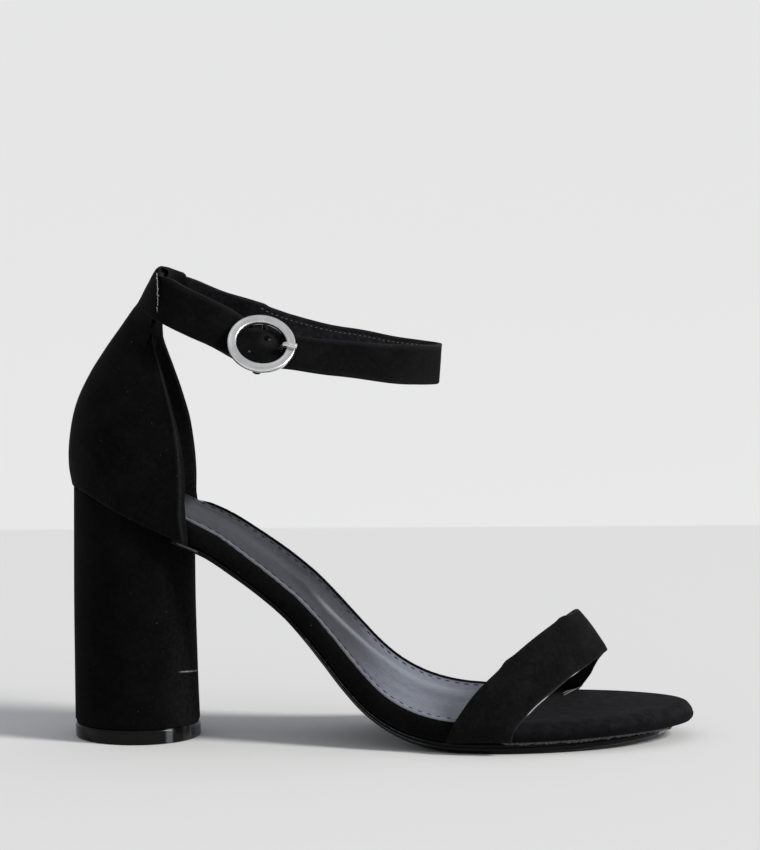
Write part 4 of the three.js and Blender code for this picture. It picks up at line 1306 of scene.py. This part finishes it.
# Small repeated parts: one is modelled, and each copy has its own mesh
def copiesOf(name, look, spots, material, slot, segments=8, rings=5):
    # spots are (place, along, up): a place in millimetres and two directions
    deselectAll()
    bpy.ops.mesh.primitive_uv_sphere_add(segments=segments, ring_count=rings, radius=0.5,
                                         rotation=(0, pi / 2, 0))
    template = bpy.context.object
    bpy.ops.object.transform_apply(location=True, rotation=True, scale=True)
    bpy.ops.object.mode_set(mode="EDIT")
    bpy.ops.mesh.select_all(action="SELECT")
    bpy.ops.transform.resize(value=[look[side] * 0.001 for side in ("length", "width", "height")])
    bpy.ops.object.mode_set(mode="OBJECT")
    copies = []
    for place, ahead, up in spots:
        copy = template.copy()
        copy.data = template.data.copy()
        bpy.context.scene.collection.objects.link(copy)
        ahead = ahead.normalized()
        side = up.cross(ahead).normalized()
        turn = Matrix((ahead, side, ahead.cross(side))).transposed().to_4x4()
        copy.data.transform(Matrix.Translation(inMetres(place)) @ turn)
        copies.append(copy)
    deselectAll()
    for copy in copies:
        copy.select_set(True)
    bpy.context.view_layer.objects.active = copies[0]
    bpy.ops.object.join()
    joined = bpy.context.object
    joined.name = name
    joined.data.name = name
    joined.data.materials.clear()
    dressed(joined, 60, material, slot)
    bpy.data.objects.remove(template)


stitchLook = {
    "pitch": 3.2, "length": 1.9, "width": 0.7, "height": 0.5, "from": 6, "to": 168,
    "nearInset": 2.6, "nearDrop": 0.02, "farInset": 4.6, "farDrop": 0.08,
}


def stitchSpots(side, inset, drop):
    edges = edgeStations(0.02, s["sockEnd"], 300)
    spots = []
    travelled, due = 0.0, 0.0
    before = None
    for station in edges:
        point, run, _ = edgePoint(station, side, inset, sockUnder + s["sockThickness"])
        if before is not None and stitchLook["from"] < run < stitchLook["to"]:
            travelled += (point - before).length
            if travelled >= due:
                normal = (solePoint(run, 0, 1) - solePoint(run, 0, 0)).normalized()
                spots.append((point - normal * drop, point - before, normal))
                due = travelled + stitchLook["pitch"]
        before = point
    return spots


for side, name in enumerate(("Near", "Far")):
    spots = stitchSpots(side, stitchLook[name.lower() + "Inset"], stitchLook[name.lower() + "Drop"])
    copiesOf("stitches" + name, stitchLook, spots, darkThread, "sock")

# loose threads along the sleeve's cut edge, from its foot to a share of its height
frayLook = {"count": 27, "length": 0.9, "width": 0.25, "height": 0.25, "upTo": 0.68}
cutEdge = []
for a, high in sleeveProfile:
    if high > sleeveThickness / 2 - 0.05:
        station = sleeveStations[0]
        cutEdge.append(sleeveMove(acrossBand(station, a, high), station, a, high))
fraySpots = []
for i in range(frayLook["count"]):
    share = i / (frayLook["count"] - 1)
    place = frayLook["upTo"] * (len(cutEdge) - 1.001) * share
    k = int(place)
    jitter = waver(i * 0.9, 2.0, 4.0)
    spot = cutEdge[k].lerp(cutEdge[k + 1], place - k)
    spot += Vector((0.05 + share * 0.8 + jitter * 0.5, -0.1, jitter * 0.6))
    fraySpots.append((spot, Vector((0.5 * jitter, -0.2, 1)), Vector((0, -1, 0))))
copiesOf("sleeveFray", frayLook, fraySpots, rawEdge, "suede", 6, 4)

strapStitchLook = {
    "pitch": 1.9, "length": 1.1, "width": 0.34, "height": 0.22, "inset": 1.3, "from": 12.2, "to": 18.6,
}


def strapSpots():
    # on the inner face of the strap's far half, below its top edge
    spots = []
    row = strapStitchLook["from"]
    while row < strapStitchLook["to"]:
        station = strapStation(row)
        height = s["strapWidth"] / 2 - strapStitchLook["inset"]
        spot = station["middle"] + station["up"] * height - station["out"] * s["strapThickness"] / 2
        spots.append((strapMove(spot, station, 1, -1), station["forward"], station["out"]))
        step = (strapMiddle(row + 0.1) - strapMiddle(row)).length / 0.1
        row += strapStitchLook["pitch"] / step
    return spots


copiesOf("strapStitches", strapStitchLook, strapSpots(), strapThread, "suede")


# Lines that follow the sole's edge: side 0 is the outer side, and start and end are runs along the sole
def edgeLine(name, side, start, end, inset, up, radius, material, slot, rough=0.5, flat=1.0):
    stations = edgeStations(s["outsoleTail"], soleRun - 0.02, 400)
    path = [edgePoint(at, side, inset, up)[0] for at in stations if start <= at["run"] <= end]
    last = len(path) - 1

    def halvesAt(v):
        ahead = (path[min(v + 1, last)] - path[max(v - 1, 0)]).normalized()
        aside = Vector((0, 0, 1)).cross(ahead).normalized()
        ragged = 1 + rough * noise.noise(path[v] * 0.9)
        thick = radius * min(smooth(v / last, 0, 0.06), 1 - smooth(v / last, 0.94, 1)) * ragged + 0.02
        return aside * thick * flat, ahead.cross(aside) * thick
    dressed(tubePiece(name, path, 8, halvesAt), 60, material, slot)


def wrapIn(along):
    return min(s["toeTuck"] * soleAt["tuck"](along), 2.7)


def wrapUp(along):
    return outsoleUpper(along) + 0.42


# the fuzzy line where the wrap meets the outsole, the sock's inner edge, the breast line, and the two waist
# lines, which are painted highlights along the outsole's glossy edge
edgeLine("soleEdgeLine", 0, 169, soleRun - 3, wrapIn, wrapUp, 1.0, fuzzLine, "outsole", 0.6, 0.5)
edgeLine("sockBinding", 1, 41, s["sockEnd"] - 1, 0.95, s["clearance"] + 0.62, 0.62, suedeUpper, "sock", 0.1)
edgeLine("breastLine", 0, 41, 50, outsoleIn(0.02), outsoleBand(0.6), 0.3, waistLine, "outsole")
edgeLine("waistGlintUpper", 0, 96, 150, outsoleIn(0.02), outsoleBand(0.80), 0.13, waistLine, "outsole")
edgeLine("waistGlintLower", 0, 96, 150, outsoleIn(0.05), outsoleBand(0.42), 0.11, waistLine, "outsole")


turnLook = {"steps": 24, "sides": 10, "bow": 0.9, "above": 0.15, "flat": 2.2}


def liningTurn(name, start, end, rise, radius):
    # edge of the far half's lining, where it turns in over the footbed, painted pale as the highlight along
    # it
    start, end = Vector(start), Vector(end)
    upright = Vector((0, 0, 1))
    aside = upright.cross((end - start).normalized())
    shares = [v / turnLook["steps"] for v in range(turnLook["steps"] + 1)]
    path = []
    for share in shares:
        x, y, _ = start.lerp(end, share)
        z = soleZ((x - s["soleBack"]) / s["soleLength"]) + turnLook["above"] + rise * (1 - share) ** 2
        path.append(Vector((x - turnLook["bow"] * sin(pi * share), y, z)))

    def halvesAt(v):
        swell = sin(pi * min(shares[v] * 1.5, 1) * 0.5) * (1 - shares[v] ** 4)
        thick = radius * (0.25 + 0.75 * swell)
        return aside * thick * turnLook["flat"], upright * thick
    dressed(tubePiece(name, path, turnLook["sides"], halvesAt), 60, liningEdgeGlint, "suede")


liningTurn("liningTurnFront", (66.9, 30.5, 0), (60.6, 19.0, 0), 1.2, 0.15)
liningTurn("liningTurnBack", (65.0, 31.2, 0), (60.2, 22.5, 0), 0.3, 0.13)
print("stitches and edge lines done")

# Camera, floor and light
view = {
    "azimuth": 4.0, "elevation": 7.3, "distance": 1.9, "focus": (0, 0, 0.1063), "lens": 238.2, "roll": 0.35,
}


def aimed(azimuth, elevation):
    # the direction from a place that is turned by azimuth and raised by elevation, towards the shoe
    level = Matrix.Rotation(radians(azimuth), 3, "Z") @ Vector((0, 1, 0))
    above = radians(elevation)
    return level * cos(above) - Vector((0, 0, sin(above)))


def stood(name, data, place, facing, roll=0.0):
    made = bpy.data.objects.new(name, data)
    bpy.context.scene.collection.objects.link(made)
    made.location = place
    made.rotation_mode = "QUATERNION"
    turn = facing.to_track_quat("-Z", "Y").to_matrix() @ Matrix.Rotation(radians(-roll), 3, "Z")
    made.rotation_quaternion = turn.to_quaternion()
    return made


towards = aimed(view["azimuth"], view["elevation"])
lens = bpy.data.cameras.new("camera")
lens.sensor_width = 36
lens.lens = view["lens"]
lens.clip_start, lens.clip_end = 0.05, 20
lens.dof.use_dof = False
place = Vector(view["focus"]) - towards * view["distance"]
bpy.context.scene.camera = stood("camera", lens, place, towards, view["roll"])

studio = {
    "wallAt": 0.486, "floor": (0.765, 0.765, 0.765), "wall": (0.845, 0.845, 0.845), "size": 60,
    "world": 0.485, "worldTint": (0.965, 0.98, 1.03, 1),
    "sun": 2.46, "sunTint": (1.035, 1.02, 0.975), "sunAzimuth": 70, "sunElevation": 35, "sunAngle": 14,
    "panel": 3.4, "panelWide": 0.10, "panelTall": 1.1, "panelAway": 1.5, "panelMiddle": 0.56,
    "panelAim": 0.05,
}


def paperFinish():
    # one large sheet, a little lighter beyond the line where the wall would stand
    material, coords = finishNamed("studioPaper", Specular_IOR_Level=0.0)
    fore, across, _ = coords.split()
    turned = radians(view["azimuth"])
    back = across * cos(turned) - fore * sin(turned)
    cloud = coords.cloud(3, 2.0, 0.5)
    colour = back.above(studio["wallAt"], 0.004).mixed(studio["floor"], studio["wall"])
    return fed(material, Base_Color=colour, Roughness=0.9 + cloud * 0.05)


bpy.ops.mesh.primitive_plane_add(size=studio["size"])
floor = bpy.context.object
floor.name = "floor"
floor.data.materials.append(paperFinish())

bpy.context.scene.view_settings.view_transform = "Standard"
world = bpy.data.worlds.new("studio")
bpy.context.scene.world = world
world.use_nodes = True
background = world.node_tree.nodes["Background"].inputs
background["Color"].default_value = studio["worldTint"]
background["Strength"].default_value = studio["world"]

sun = bpy.data.lights.new("key", "SUN")
sun.energy = studio["sun"]
sun.angle = radians(studio["sunAngle"])
sun.color = studio["sunTint"]
stood("key", sun, (0, 0, 0), aimed(studio["sunAzimuth"], studio["sunElevation"]))
# low tall panel at the same side, for the upright glints in the gloss
panel = bpy.data.lights.new("panel", "AREA")
panel.shape = "RECTANGLE"
panel.size, panel.size_y = studio["panelWide"], studio["panelTall"]
panel.energy = studio["panel"]
place = Vector((0, 0, studio["panelMiddle"])) - aimed(studio["sunAzimuth"], 0) * studio["panelAway"]
stood("panel", panel, place, Vector((0, 0, studio["panelAim"])) - place)
print("camera, floor and lights done")
